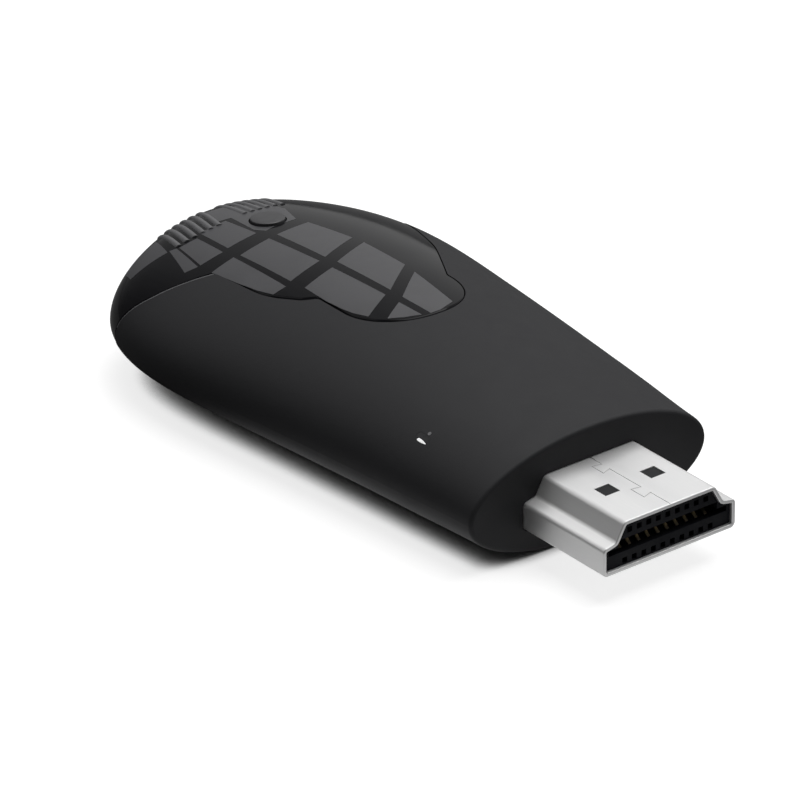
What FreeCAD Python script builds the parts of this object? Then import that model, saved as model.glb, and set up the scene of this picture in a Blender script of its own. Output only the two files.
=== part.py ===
import FreeCAD, Part
import math
import os

V = FreeCAD.Vector

# A plug-in display dongle. All sizes are in mm. The housing's front face stands at x = 0, the
# plug points along +X, +Z is the button side, and the origin is the centre of the plug there.

# Housing form: an oval in every cross section, t mm behind the front face. Its sides, top and
# bottom each close towards the rear over a length of their own.
housing_length = 52.6
front_half_width = 12.45
front_half_height = 5.1
side_taper = 0.080
side_curve = 0.00061
side_round_length = 22.8
side_round_power = 2.64
crown_height = 7.26
crown_at = 27.5
top_round_length = 5.5
top_round_power = 4.15
rear_flat = 0.9
chin_length = 10.1
chin_rise = 3.1
chin_power = 1.7
base_cut = 0.25
section_count = 14
section_crowding = 1.6
front_edge_radius = 0.35

# Housing walls and the joint between the two shells
wall = 1.5
parting_level = -2.4
seam = 0.06
lip_width = 0.45
lip_height = 0.8
lip_from_front = 4.0
lip_from_rear = 11.6

# Glossy cap let into the rear of the upper shell. Its outline, seen from above, is a list of
# corners: distance ahead of the rear end, distance to the side, and radius of the corner.
# The first and the last two lie past the housing.
cap_thickness = 0.6
cap_sink = 0.05
adhesive_thickness = 0.1
adhesive_margin = 0.6
adhesive_from_rear = 11.6
adhesive_lowest = 3.0
cap_seam = 0.1
cap_outline = (
    (-7.4, -20.0, 0.0),
    (5.4, -20.0, 0.0),
    (7.1, -15.0, 2.0),
    (9.3, -12.5, 6.0),
    (12.2, -7.95, 0.7),
    (19.0, -7.8, 8.0),
    (22.0, -6.25, 0.9),
    (23.0, -5.15, 0.8),
    (32.0, -5.15, 5.6),
    (31.9, 6.55, 5.6),
    (25.9, 6.4, 0.6),
    (19.2, 10.35, 14.0),
    (12.0, 13.1, 3.0),
    (7.1, 15.4, 2.0),
    (5.4, 20.0, 0.0),
    (-7.4, 20.0, 0.0),
)

# Grip ribs that run over the rear edge of the cap
rib_width = 0.45
rib_pitch = 0.87
rib_count = 6
rib_rise = 0.28
rib_from_rear = 5.1
rib_lowest = 3.2
left_rib_first = -6.55
right_rib_first = 1.55

# Video plug with its narrow side up
plug_width = 13.9
plug_height = 4.45
plug_reach = 10.2
plug_sheet = 0.35
plug_top_half = 4.75
plug_knee_half = 5.65
plug_knee_level = 0.6
plug_ledge_level = 0.33
plug_bottom_radius = 0.5
plug_side_radius = 0.45
plug_top_radius = 0.55
plug_lip_radius = 0.12
plug_inner_reach = 6.2
plug_clearance = 0.1
spring_window = 1.3
spring_window_offset = 2.4
spring_window_behind = 5.1
plug_tab_length = 1.8
plug_tab_width = 1.6
plug_tab_leg = 1.45

# Insulator and contacts of the video plug
insulator_clearance = 0.05
insulator_recess = 0.3
insulator_rear_gap = 0.4
slot_side_wall = 0.35
slot_step = 1.0
slot_low_part = 0.5
slot_depth = 7.0
slot_gap = 0.75
contact_pitch = 1.0
contact_width = 0.35
contact_thickness = 0.2
contact_clearance = 0.03
contact_recess = 0.9
contact_tail = 2.2
upper_contact_count = 9
lower_contact_count = 10
pocket_size = 0.5
pocket_depth = 0.9
upper_pocket_level = 1.2
lower_pocket_level = -1.45

# Main board
board_middle = -0.05
board_thickness = 1.0
board_clearance = 0.5
board_from_front = 1.9
board_from_rear = 2.6
board_corner = 36.0
board_bend_ahead = 5.5
board_notch_clearance = 0.3

# Power socket on the rear edge of the board
socket_width = 7.5
socket_bottom_width = 5.7
socket_height = 2.6
socket_bevel = 1.0
socket_corner_radius = 0.4
socket_depth = 5.0
socket_sheet = 0.3
socket_recess = 0.15
socket_clearance = 0.15
socket_tab_length = 1.2
socket_tab_reach = 0.9
socket_tab_back = 0.8
socket_tongue_thickness = 0.6
socket_tongue_width = 4.0
socket_tongue_level = 0.35
socket_tongue_recess = 0.6
socket_end_length = 1.2
socket_pin_count = 5
socket_pin_pitch = 0.65
socket_pin_width = 0.3
socket_pin_thickness = 0.12
socket_pin_recess = 1.0

# Mode button and the switch under it
button_from_rear = 7.4
button_y = 1.25
button_radius = 1.55
button_proud = 0.35
button_clearance = 0.1
button_flange = 0.55
button_flange_thickness = 0.5
button_seat_depth = 2.02
button_stem_radius = 0.8
guide_wall = 0.9
guide_depth = 0.9
seat_gap = 0.02

switch_length = 3.2
switch_width = 4.2
switch_base_height = 1.4
switch_floor = 0.3
switch_cover_thickness = 0.2
plunger_radius = 0.8
plunger_flange_radius = 1.2
plunger_rise = 0.8
dome_radius = 1.2
dome_clearance = 0.15
dome_height = 0.4
dome_thickness = 0.08
terminal_width = 0.6
terminal_reach = 0.8
terminal_thickness = 0.15
terminal_height = 0.7

# Posts, pins, screws and snap hooks that hold the shells and the board together
pin_post_x = -12.0
pin_post_y = 8.0
screw_post_x = -36.0
screw_post_y = 9.5
post_radius = 1.3
pin_radius = 0.6
pin_height = 0.8
pin_end_gap = 0.2
hole_clearance = 0.1
screw_radius = 0.55
screw_length = 3.4
screw_head_radius = 1.2
screw_head_height = 0.6
screw_thread_gap = 0.01
cross_length = 1.3
cross_width = 0.3
cross_depth = 0.35
hook_stations = (8.0, 27.0)
hook_length = 3.0
hook_arm = 0.7
hook_barb = 0.45
hook_barb_height = 0.4
hook_clearance = 0.1
rooting = 0.5

# Electronics on the board. Each size is length, width and height.
processor_x = -25.0
processor_size = 12.0
processor_height = 1.2
pad_size = 10.0
pad_thickness = 1.0
spreader_length = 20.0
spreader_width = 15.0
spreader_thickness = 0.8
spreader_post_radius = 0.9
spreader_post_inset = 1.5
memory_size = (7.5, 10.5, 1.0)
memory_gap = 0.75
flash_x = -18.0
flash_size = (8.0, 11.0, 1.0)
radio_gap = 4.0
radio_board_size = (12.0, 12.5, 0.6)
radio_chip_size = (5.0, 5.0, 0.8)
shield_height = 1.3
shield_sheet = 0.15
shield_margin = 0.5
antenna_size = (7.0, 2.0, 1.0)
antenna_rear_gap = 3.5
antenna_edge_gap = 2.2
main_crystal_size = (3.2, 2.5, 0.7)
main_crystal_gap = 3.0
clock_crystal_size = (2.5, 2.0, 0.6)
clock_crystal_ahead = 11.6
clock_crystal_y = 8.8
supply_gap = 5.0
regulator_size = (3.0, 2.6, 0.9)
regulator_y = 1.6
inductor_size = (3.0, 3.0, 1.5)
inductor_y = 4.6
inductor_corner_radius = 0.5
protection_size = (2.4, 1.2, 0.5)
protection_pitch = 3.0
protection_gap = 1.0
capacitor_size = (0.5, 1.0, 0.5)
capacitor_count = 8
capacitor_pitch = 1.5
capacitor_gap = 0.4
resistor_size = (1.0, 0.5, 0.35)
resistor_count = 9
resistor_pitch = 1.0
resistor_gap = 0.75
led_x = -8.9
led_edge_gap = 0.8
led_size = (1.6, 0.8, 0.6)
light_pipe_length = 1.3
light_pipe_width = 0.5
light_pipe_gap = 0.1

# How far cutting blocks and rods run past every piece
beyond = 100.0


# Form of the housing

def closing(left, length, power):
    """Factor that falls from 1 to 0 as the way left to a rounded end falls from its length to 0."""
    if left >= length:
        return 1.0
    return (1.0 - (1.0 - left / length) ** power) ** (1.0 / power)


def half_width(t):
    growth = side_taper * t + side_curve * t * t
    left = housing_length + rear_flat - t
    return (front_half_width + growth) * closing(left, side_round_length, side_round_power)


def top_height(t):
    fall = (crown_height - front_half_height) * ((t - crown_at) / crown_at) ** 2
    left = housing_length + rear_flat - t
    return (crown_height - fall) * closing(left, top_round_length, top_round_power)


def bottom_depth(t):
    into_chin = max(0.0, chin_length - (housing_length - t)) / chin_length
    return front_half_height - chin_rise * into_chin ** chin_power


def side_at(t, level, inset):
    """Half width of the form at a level below its middle."""
    reach = half_width(t) - inset
    return reach * math.sqrt(1.0 - (level / (bottom_depth(t) - inset)) ** 2)


def oval(t, inset):
    x = -t * (housing_length - inset) / housing_length
    middle = V(x, 0, 0)
    side = V(x, half_width(t) - inset, 0)
    upper = Part.Ellipse(side, V(x, 0, top_height(t) - inset), middle)
    lower = Part.Ellipse(side, V(x, 0, bottom_depth(t) - inset), middle)
    halves = [
        Part.ArcOfEllipse(upper, 0, math.pi).toShape(),
        Part.ArcOfEllipse(lower, math.pi, 2 * math.pi).toShape(),
    ]
    return Part.Wire(halves)


def form(inset):
    """The housing's outer form, drawn in by inset on its sides and its rear end."""
    last = section_count - 1
    stations = [housing_length * (1 - (1 - i / last) ** section_crowding) for i in range(section_count)]
    return Part.makeLoft([oval(t, inset) for t in stations], True)


# Helpers

def block(x0, x1, y0, y1, z0, z1):
    return Part.makeBox(x1 - x0, y1 - y0, z1 - z0, V(x0, y0, z0))


def rod(x, y, radius, low, high):
    return Part.makeCylinder(radius, high - low, V(x, y, low))


def standing(x, y, size, level):
    """A block centred at x, y that stands on a level."""
    length, width, height = size
    return block(x - length / 2, x + length / 2, y - width / 2, y + width / 2, level, level + height)


def hanging(x, y, size, level):
    """A block centred at x, y that hangs below a level."""
    return standing(x, y, size, level - size[2])


def rounded_wire(corners, place):
    """Closed wire round (u, v, radius) corners, with each corner turned by a tangent arc."""
    count = len(corners)
    turns = []
    for i in range(count):
        u, v, radius = corners[i]
        corner = V(u, v, 0)
        before = (V(corners[i - 1][0], corners[i - 1][1], 0) - corner).normalize()
        after = (V(corners[(i + 1) % count][0], corners[(i + 1) % count][1], 0) - corner).normalize()
        if radius == 0:
            turns.append((corner, None, corner))
            continue
        half = before.getAngle(after) / 2
        bisector = (before + after).normalize()
        reach = radius / math.tan(half)
        middle = corner + bisector * (radius / math.sin(half) - radius)
        turns.append((corner + before * reach, middle, corner + after * reach))
    edges = []
    for i in range(count):
        entry, middle, leave = turns[i]
        start = turns[i - 1][2]
        if (entry - start).Length > 1e-6:
            edges.append(Part.LineSegment(place(start), place(entry)).toShape())
        if middle is not None:
            edges.append(Part.Arc(place(entry), place(middle), place(leave)).toShape())
    return Part.Wire(edges)


def grown(wire, amount):
    if amount == 0:
        return wire
    return wire.makeOffset2D(amount)


def everywhere_behind(x):
    return block(-beyond, x, -beyond, beyond, -beyond, beyond)


def above(level):
    return block(-beyond, beyond, -beyond, beyond, level, beyond)


def below(level):
    return block(-beyond, beyond, -beyond, beyond, -beyond, level)


def both_sides(y):
    return (-y, y)


def in_row(i, count, pitch):
    """Place of one of count pieces that stand in a row about the middle."""
    return (i - (count - 1) / 2) * pitch


# Levels and places that several pieces share

rear_x = -housing_length
base_level = front_half_height - base_cut
board_top = board_middle + board_thickness / 2
board_bottom = board_middle - board_thickness / 2
cap_recess = cap_sink + cap_thickness + adhesive_thickness
socket_front = rear_x + socket_recess
socket_inner_end = socket_front + socket_depth
socket_middle = board_top + socket_height / 2
tongue_bottom = socket_middle + socket_tongue_level
insulator_face = plug_reach - insulator_recess
contact_front = insulator_face - contact_recess
slot_end = contact_front - slot_depth
contact_rear = -plug_inner_reach - contact_tail
button_x = rear_x + button_from_rear
flange_radius = button_radius + button_flange
button_seat_level = top_height(housing_length - button_from_rear) - button_seat_depth
dome_base = board_top + switch_floor
switch_base_top = board_top + switch_base_height
switch_cover_top = switch_base_top + switch_cover_thickness
plunger_top = switch_cover_top + plunger_rise
pad_top = board_top + processor_height + pad_thickness
spreader_top = pad_top + spreader_thickness
memory_x = processor_x + processor_size / 2 + memory_gap + memory_size[0] / 2
radio_x = flash_x - flash_size[0] / 2 - radio_gap - radio_board_size[0] / 2
radio_board_bottom = board_bottom - radio_board_size[2]
supply_x = processor_x - processor_size / 2 - supply_gap


def board_half_width(behind):
    """Half width of the board at a distance behind the front face, clear of the housing's wall."""
    t = behind * housing_length / (housing_length - wall)
    return side_at(t, board_bottom, wall) - board_clearance


led_y = -(board_half_width(-led_x) - led_edge_gap)


def cap_prism(shrink, bottom):
    wire = rounded_wire(cap_outline, lambda p: V(rear_x + p.x, p.y, bottom))
    face = Part.Face(grown(wire, -shrink))
    return face.extrude(V(0, 0, beyond))


def plug_block(x0, x1, grow):
    """Bar with the outline of the plug's shell: wide and square below, bevelled and narrower above."""
    half_height = plug_height / 2
    right = [
        (plug_width / 2, -half_height, plug_bottom_radius),
        (plug_width / 2, plug_ledge_level, plug_side_radius),
        (plug_knee_half, plug_knee_level, plug_side_radius),
        (plug_top_half, half_height, plug_top_radius),
    ]
    left = [(-y, z, radius) for y, z, radius in reversed(right)]
    wire = rounded_wire(right + left, lambda p: V(x0, p.x, p.y))
    return Part.Face(grown(wire, grow)).extrude(V(x1 - x0, 0, 0))


def socket_block(x0, x1, grow):
    """Bar with the outline of the power socket: flat above and bevelled towards the board."""
    half = socket_width / 2
    top = socket_height / 2
    right = [
        (socket_bottom_width / 2, -top, socket_corner_radius),
        (half, -top + socket_bevel, socket_corner_radius),
        (half, top, socket_corner_radius),
    ]
    left = [(-y, z, radius) for y, z, radius in reversed(right)]
    wire = rounded_wire(right + left, lambda p: V(x0, p.x, socket_middle + p.y))
    return Part.Face(grown(wire, grow)).extrude(V(x1 - x0, 0, 0))


def light_pipe_bar(grow, low, high):
    """Upright bar with round ends, for the light pipe and its hole."""
    radius = light_pipe_width / 2 + grow
    half = (light_pipe_length - light_pipe_width) / 2
    bar = block(led_x - half, led_x + half, led_y - radius, led_y + radius, low, high)
    ends = [rod(led_x + side, led_y, radius, low, high) for side in both_sides(half)]
    return bar.multiFuse(ends).removeSplitter()


# Housing shells

def outer_body():
    """The whole outer form with its flat base and its softened front edge."""
    body = form(0)
    rim = [edge for edge in body.Edges if edge.BoundBox.XMin > -1e-4]
    body = body.makeFillet(front_edge_radius, rim)
    return body.common(above(-base_level))


def hook_faces(t):
    """Inner and outer face of a snap hook's arm, and the level under its barb."""
    barb_level = board_bottom - seam - hook_barb_height
    outer = side_at(t, barb_level, wall) - hook_barb - hook_clearance
    return outer - hook_arm, outer, barb_level


def hook_slots():
    slots = []
    for t in hook_stations:
        inner, outer, barb_level = hook_faces(t)
        half = hook_length / 2 + hole_clearance
        for side in (-1, 1):
            ys = sorted((side * (inner - hole_clearance), side * (outer + hole_clearance)))
            slots.append(block(-t - half, -t + half, ys[0], ys[1], parting_level - rooting, board_bottom))
    return slots


def lip_ring(outer_inset, height):
    """Upright ring that stands on the lower shell's inner edge along its two sides."""
    sides = block(rear_x + lip_from_rear, -lip_from_front, -beyond, beyond, -beyond, beyond)
    outer = form(outer_inset).slice(V(0, 0, 1), parting_level)[0]
    inner = form(wall).slice(V(0, 0, 1), parting_level)[0]
    ring = Part.Face(outer).extrude(V(0, 0, height)).cut(Part.Face(inner).extrude(V(0, 0, height)))
    return ring.common(sides)


def upper_shell(body, cavity):
    """Upper housing with the whole front wall, the cap's recess, and the posts inside."""
    prism = cap_prism(0, parting_level)
    shell = body.cut(prism).fuse(form(cap_recess).common(prism))
    front_wall = block(-wall, beyond, -beyond, beyond, -beyond, parting_level)
    lower_half = below(parting_level).cut(front_wall)
    shell = shell.cut([lower_half, cavity])
    guide_radius = flange_radius + guide_wall
    posts = [rod(button_x, button_y, guide_radius, button_seat_level - guide_depth, beyond)]
    for y in both_sides(pin_post_y):
        posts.append(rod(pin_post_x, y, post_radius, board_top, beyond))
    for y in both_sides(spreader_width / 2 - spreader_post_inset):
        for x in both_sides(spreader_length / 2 - spreader_post_inset):
            posts.append(rod(processor_x + x, y, spreader_post_radius, spreader_top, beyond))
    inside = form((cap_recess + wall) / 2)
    shell = shell.fuse(Part.makeCompound(posts).common(inside))
    cuts = [
        plug_block(-2 * wall, beyond, plug_clearance),
        socket_block(rear_x - wall, socket_inner_end, socket_clearance),
        rod(button_x, button_y, button_radius + button_clearance, 0, beyond),
        rod(button_x, button_y, flange_radius + button_clearance, 0, button_seat_level),
        light_pipe_bar(seat_gap, 0, beyond),
        lip_ring(wall - lip_width - seam, lip_height + seam),
    ]
    pin_hole_top = board_top + pin_height + pin_end_gap
    for y in both_sides(pin_post_y):
        cuts.append(rod(pin_post_x, y, pin_radius + hole_clearance, board_top - rooting, pin_hole_top))
    return shell.cut(cuts + hook_slots()).removeSplitter()


def lower_shell(body, cavity):
    """Lower tray with its posts, locating pins, lip and snap hooks."""
    tray = body.common(below(parting_level)).common(everywhere_behind(-wall - seam)).cut(cavity)
    stems = []
    for y in both_sides(pin_post_y):
        stems.append(rod(pin_post_x, y, post_radius, -base_level, board_bottom))
    for y in both_sides(screw_post_y):
        stems.append(rod(screw_post_x, y, post_radius, -base_level, board_bottom))
    pieces = [Part.makeCompound(stems).common(form(wall / 2))]
    for y in both_sides(pin_post_y):
        pieces.append(rod(pin_post_x, y, pin_radius, board_bottom - rooting, board_top + pin_height))
    pieces.append(lip_ring(wall - lip_width, lip_height))
    for t in hook_stations:
        inner, outer, barb_level = hook_faces(t)
        half = hook_length / 2
        for side in (-1, 1):
            arm = sorted((side * inner, side * outer))
            barb = sorted((side * inner, side * (outer + hook_barb)))
            top = barb_level + hook_barb_height
            pieces.append(block(-t - half, -t + half, arm[0], arm[1], parting_level - rooting, top))
            pieces.append(block(-t - half, -t + half, barb[0], barb[1], barb_level, top))
    tray = tray.multiFuse(pieces)
    hole_bottom = board_top - screw_length - pin_end_gap
    holes = []
    for y in both_sides(screw_post_y):
        holes.append(rod(screw_post_x, y, screw_radius + screw_thread_gap, hole_bottom, board_top))
    return tray.cut(holes).removeSplitter()


def gloss_cap():
    """Glossy cap over the rear end, with its tongue along the top and its grip ribs."""
    cap = form(cap_sink).cut(form(cap_sink + cap_thickness))
    cap = cap.common(cap_prism(cap_seam, parting_level + seam))
    rib_front = rear_x + rib_from_rear
    ribs = []
    for first in (left_rib_first, right_rib_first):
        for i in range(rib_count):
            y = first + i * rib_pitch
            bar = block(-beyond, rib_front, y - rib_width / 2, y + rib_width / 2, rib_lowest, beyond)
            ribs.append(bar.fuse(rod(rib_front, y, rib_width / 2, rib_lowest, beyond)))
    layer = form(cap_sink - rib_rise).cut(form(cap_sink + cap_thickness / 2))
    cap = cap.fuse(Part.makeCompound(ribs).common(layer))
    cuts = [
        rod(button_x, button_y, button_radius + button_clearance, 0, beyond),
        socket_block(rear_x - wall, socket_inner_end, socket_clearance),
    ]
    return cap.cut(cuts).removeSplitter()


def cap_adhesive():
    """Thin adhesive film that holds the cap's tongue in its recess."""
    film = form(cap_sink + cap_thickness).cut(form(cap_recess))
    film = film.common(cap_prism(adhesive_margin, adhesive_lowest))
    return film.common(block(rear_x + adhesive_from_rear, 0, -beyond, beyond, 0, beyond))


# Video plug

def plug_shell():
    """Bent sheet shell with a rolled front edge, spring windows and two soldering tabs."""
    tube = plug_block(-plug_inner_reach, plug_reach, 0)
    tube = tube.cut(plug_block(-plug_inner_reach - plug_sheet, plug_reach + plug_sheet, -plug_sheet))
    rim = [edge for edge in tube.Edges if edge.BoundBox.XMin > plug_reach - 1e-4]
    tube = tube.makeFillet(plug_lip_radius, rim)
    x = plug_reach - spring_window_behind
    half = spring_window / 2
    windows = []
    for y in both_sides(spring_window_offset):
        windows.append(block(x - half, x + half, y - half, y + half, -plug_height, plug_height))
    tube = tube.cut(windows)
    rear = -plug_inner_reach
    front = rear + plug_tab_length
    inner = plug_width / 2 - plug_sheet
    tab_top = board_top + plug_sheet
    tabs = []
    for side in (-1, 1):
        ys = sorted((side * inner, side * (plug_width / 2 + plug_tab_width)))
        tabs.append(block(rear, front, ys[0], ys[1], board_top, tab_top))
        leg = sorted((side * inner, side * plug_width / 2))
        tabs.append(block(rear, front, leg[0], leg[1], board_top - plug_tab_leg, tab_top))
    return tube.multiFuse(tabs).removeSplitter()


def contact_row(count, side):
    """One row of spring contacts: on the slot's wall in front, on the board's pad behind."""
    step = slot_end + contact_thickness
    inner = slot_gap / 2
    outer = board_thickness / 2
    levels = {
        "blade": (inner, inner + contact_thickness),
        "riser": (inner, outer + contact_thickness),
        "tail": (outer, outer + contact_thickness),
    }
    lengths = {
        "blade": (slot_end, contact_front),
        "riser": (slot_end, step),
        "tail": (contact_rear, step),
    }
    strips = []
    for i in range(count):
        y = in_row(i, count, contact_pitch)
        parts = []
        for name in ("blade", "riser", "tail"):
            low, high = sorted(board_middle + side * level for level in levels[name])
            rear, front = lengths[name]
            parts.append(block(rear, front, y - contact_width / 2, y + contact_width / 2, low, high))
        strips.append(parts[0].multiFuse(parts[1:]).removeSplitter())
    return Part.makeCompound(strips)


def plug_insulator():
    """Moulded core of the plug, with the slot, two rows of pockets and the contacts' channels."""
    gap = plug_sheet + insulator_clearance
    core = plug_block(-plug_inner_reach + insulator_rear_gap, insulator_face, -gap)
    slot_half = plug_width / 2 - gap - slot_side_wall
    high_half = slot_half - slot_step
    slot_low = board_middle - slot_gap / 2 - contact_thickness
    slot_high = board_middle + slot_gap / 2 + contact_thickness
    cuts = [
        block(slot_end, plug_reach, -high_half, high_half, slot_low, slot_high),
        block(slot_end, plug_reach, -slot_half, slot_half, slot_low, slot_low + slot_low_part),
    ]
    rows = (
        (upper_contact_count, 1, upper_pocket_level),
        (lower_contact_count, -1, lower_pocket_level),
    )
    half = pocket_size / 2
    side_gap = contact_width / 2 + contact_clearance
    near = slot_gap / 2
    far = board_thickness / 2 + contact_thickness + contact_clearance
    for count, side, level in rows:
        low, high = sorted((board_middle + side * near, board_middle + side * far))
        for i in range(count):
            y = in_row(i, count, contact_pitch)
            cuts.append(block(insulator_face - pocket_depth, plug_reach, y - half, y + half,
                              level - half, level + half))
            cuts.append(block(-beyond, slot_end + contact_thickness + contact_clearance,
                              y - side_gap, y + side_gap, low, high))
    return core.cut(cuts).removeSplitter()


# Board and socket

def main_board():
    notch = plug_width / 2 + board_notch_clearance
    notch_depth = plug_inner_reach + board_notch_clearance
    board_rear = housing_length - board_from_rear
    bend = board_rear - board_bend_ahead
    side = [
        (-notch_depth, notch),
        (-board_from_front, notch),
        (-board_from_front, board_half_width(board_from_front)),
        (-board_corner, board_half_width(board_corner)),
        (-bend, board_half_width(bend)),
        (-board_rear, board_half_width(board_rear)),
    ]
    outline = side + [(x, -y) for x, y in reversed(side)]
    points = [V(x, y, board_bottom) for x, y in outline]
    board = Part.Face(Part.makePolygon(points + points[:1])).extrude(V(0, 0, board_thickness))
    holes = []
    for y in both_sides(pin_post_y):
        holes.append(rod(pin_post_x, y, pin_radius + hole_clearance, -beyond, beyond))
    for y in both_sides(screw_post_y):
        holes.append(rod(screw_post_x, y, screw_radius + hole_clearance, -beyond, beyond))
    return board.cut(holes)


def socket_shell():
    """Bent sheet shell of the power socket, closed behind, with two soldering tabs."""
    tube = socket_block(socket_front, socket_inner_end, 0)
    tube = tube.cut(socket_block(socket_front - wall, socket_inner_end - socket_sheet, -socket_sheet))
    front = socket_inner_end - socket_tab_back
    rear = front - socket_tab_length
    inner = socket_width / 2 - socket_sheet
    tabs = []
    for side in (-1, 1):
        ys = sorted((side * inner, side * (socket_width / 2 + socket_tab_reach)))
        tabs.append(block(rear, front, ys[0], ys[1], board_top, board_top + socket_sheet))
        leg = sorted((side * inner, side * socket_width / 2))
        tabs.append(block(rear, front, leg[0], leg[1], board_top, socket_middle))
    return tube.multiFuse(tabs).removeSplitter()


def socket_tongue():
    """Moulded tongue in the socket, with the block that closes its inner end."""
    inner_end = socket_inner_end - socket_sheet
    half = socket_tongue_width / 2
    tongue = block(socket_front + socket_tongue_recess, inner_end, -half, half,
                   tongue_bottom, tongue_bottom + socket_tongue_thickness)
    end = socket_block(inner_end - socket_end_length, inner_end, -socket_sheet - seat_gap)
    return tongue.fuse(end).removeSplitter()


def socket_pins():
    inner_end = socket_inner_end - socket_sheet - socket_end_length
    half = socket_pin_width / 2
    pins = []
    for i in range(socket_pin_count):
        y = in_row(i, socket_pin_count, socket_pin_pitch)
        pins.append(block(socket_front + socket_pin_recess, inner_end, y - half, y + half,
                          tongue_bottom - socket_pin_thickness, tongue_bottom))
    return Part.makeCompound(pins)


# Button and switch

def mode_button():
    """Round button with a flange that keeps it in the housing and a stem to the switch."""
    seat = button_seat_level - seat_gap
    flange_low = seat - button_flange_thickness
    cap = rod(button_x, button_y, button_radius, flange_low, beyond).common(form(cap_sink - button_proud))
    flange = rod(button_x, button_y, flange_radius, flange_low, seat)
    stem = rod(button_x, button_y, button_stem_radius, plunger_top, seat)
    return cap.multiFuse([flange, stem]).removeSplitter()


def switch_base():
    base = standing(button_x, button_y, (switch_length, switch_width, switch_base_height), board_top)
    return base.cut(rod(button_x, button_y, dome_radius + dome_clearance, dome_base, beyond))


def switch_cover():
    size = (switch_length, switch_width, switch_cover_thickness)
    plate = standing(button_x, button_y, size, switch_base_top)
    return plate.cut(rod(button_x, button_y, plunger_radius + button_clearance, 0, beyond))


def switch_plunger():
    dome_top = dome_base + dome_height
    flange = rod(button_x, button_y, plunger_flange_radius, dome_top, switch_base_top - seat_gap)
    stem = rod(button_x, button_y, plunger_radius, dome_top, plunger_top)
    return flange.fuse(stem).removeSplitter()


def switch_dome():
    """Thin snap dome: a shallow ball cap under the plunger."""
    radius = (dome_radius ** 2 + dome_height ** 2) / (2 * dome_height)
    centre = V(button_x, button_y, dome_base + dome_height - radius)
    ball = Part.makeSphere(radius, centre).cut(Part.makeSphere(radius - dome_thickness, centre))
    return ball.common(rod(button_x, button_y, 2 * dome_radius, dome_base, beyond))


def switch_terminals():
    """Four soldered feet, bent up against the long sides of the switch's base."""
    feet = []
    for side in (-1, 1):
        wall_y = button_y + side * switch_width / 2
        reach = sorted((wall_y, wall_y + side * terminal_reach))
        rise = sorted((wall_y, wall_y + side * terminal_thickness))
        for x in both_sides(switch_length / 2 - terminal_width):
            x0 = button_x + x - terminal_width / 2
            x1 = x0 + terminal_width
            foot = block(x0, x1, reach[0], reach[1], board_top, board_top + terminal_thickness)
            leg = block(x0, x1, rise[0], rise[1], board_top, board_top + terminal_height)
            feet.append(foot.fuse(leg).removeSplitter())
    return Part.makeCompound(feet)


# Fasteners

def board_screws():
    """Two screws with cross recesses that hold the board on the lower shell's posts."""
    head_top = board_top + screw_head_height
    screws = []
    for y in both_sides(screw_post_y):
        head = rod(screw_post_x, y, screw_head_radius, board_top, head_top)
        cross = [
            hanging(screw_post_x, y, (cross_length, cross_width, cross_depth), head_top),
            hanging(screw_post_x, y, (cross_width, cross_length, cross_depth), head_top),
        ]
        shank = rod(screw_post_x, y, screw_radius, board_top - screw_length, board_top)
        screws.append(head.cut(cross).fuse(shank).removeSplitter())
    return Part.makeCompound(screws)


# Electronics

def processor():
    return standing(processor_x, 0, (processor_size, processor_size, processor_height), board_top)


def thermal_pad():
    return hanging(processor_x, 0, (pad_size, pad_size, pad_thickness), pad_top)


def heat_spreader():
    return standing(processor_x, 0, (spreader_length, spreader_width, spreader_thickness), pad_top)


def radio_shield():
    """Folded sheet can over the radio chip, open towards its board."""
    length = radio_board_size[0] - 2 * shield_margin
    width = radio_board_size[1] - 2 * shield_margin
    can = hanging(radio_x, 0, (length, width, shield_height), radio_board_bottom)
    inside = (length - 2 * shield_sheet, width - 2 * shield_sheet, shield_height - shield_sheet)
    return can.cut(hanging(radio_x, 0, inside, radio_board_bottom))


def antenna():
    rear = housing_length - board_from_rear - antenna_rear_gap
    y = -(board_half_width(rear) - antenna_edge_gap - antenna_size[1] / 2)
    return standing(-rear + antenna_size[0] / 2, y, antenna_size, board_top)


def crystals():
    main = standing(processor_x, processor_size / 2 + main_crystal_gap, main_crystal_size, board_top)
    clock = standing(rear_x + clock_crystal_ahead, clock_crystal_y, clock_crystal_size, board_top)
    return Part.makeCompound([main, clock])


def inductors():
    coils = []
    for y in both_sides(inductor_y):
        coil = standing(supply_x, y, inductor_size, board_top)
        corners = [edge for edge in coil.Edges if abs(edge.Vertexes[0].Z - edge.Vertexes[-1].Z) > 1e-3]
        coils.append(coil.makeFillet(inductor_corner_radius, corners))
    return Part.makeCompound(coils)


def regulators():
    return Part.makeCompound([standing(supply_x, y, regulator_size, board_top) for y in both_sides(regulator_y)])


def protection_chips():
    x = contact_rear - protection_gap - protection_size[0] / 2
    ys = [in_row(i, 3, protection_pitch) for i in range(3)]
    return Part.makeCompound([hanging(x, y, protection_size, board_bottom) for y in ys])


def capacitors():
    """Rows of small ceramic blocks on both long sides of the processor."""
    row = processor_size / 2 + capacitor_gap + capacitor_size[1] / 2
    blocks = []
    for y in both_sides(row):
        for i in range(capacitor_count):
            x = processor_x + in_row(i, capacitor_count, capacitor_pitch)
            blocks.append(standing(x, y, capacitor_size, board_top))
    return Part.makeCompound(blocks)


def resistors():
    x = memory_x + memory_size[0] / 2 + resistor_gap + resistor_size[0] / 2
    ys = [in_row(i, resistor_count, resistor_pitch) for i in range(resistor_count)]
    return Part.makeCompound([standing(x, y, resistor_size, board_top) for y in ys])


def light_pipe():
    """Clear pipe from above the status light to the housing's surface."""
    low = board_top + led_size[2] + light_pipe_gap
    return light_pipe_bar(0, low, beyond).common(form(0))


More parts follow.
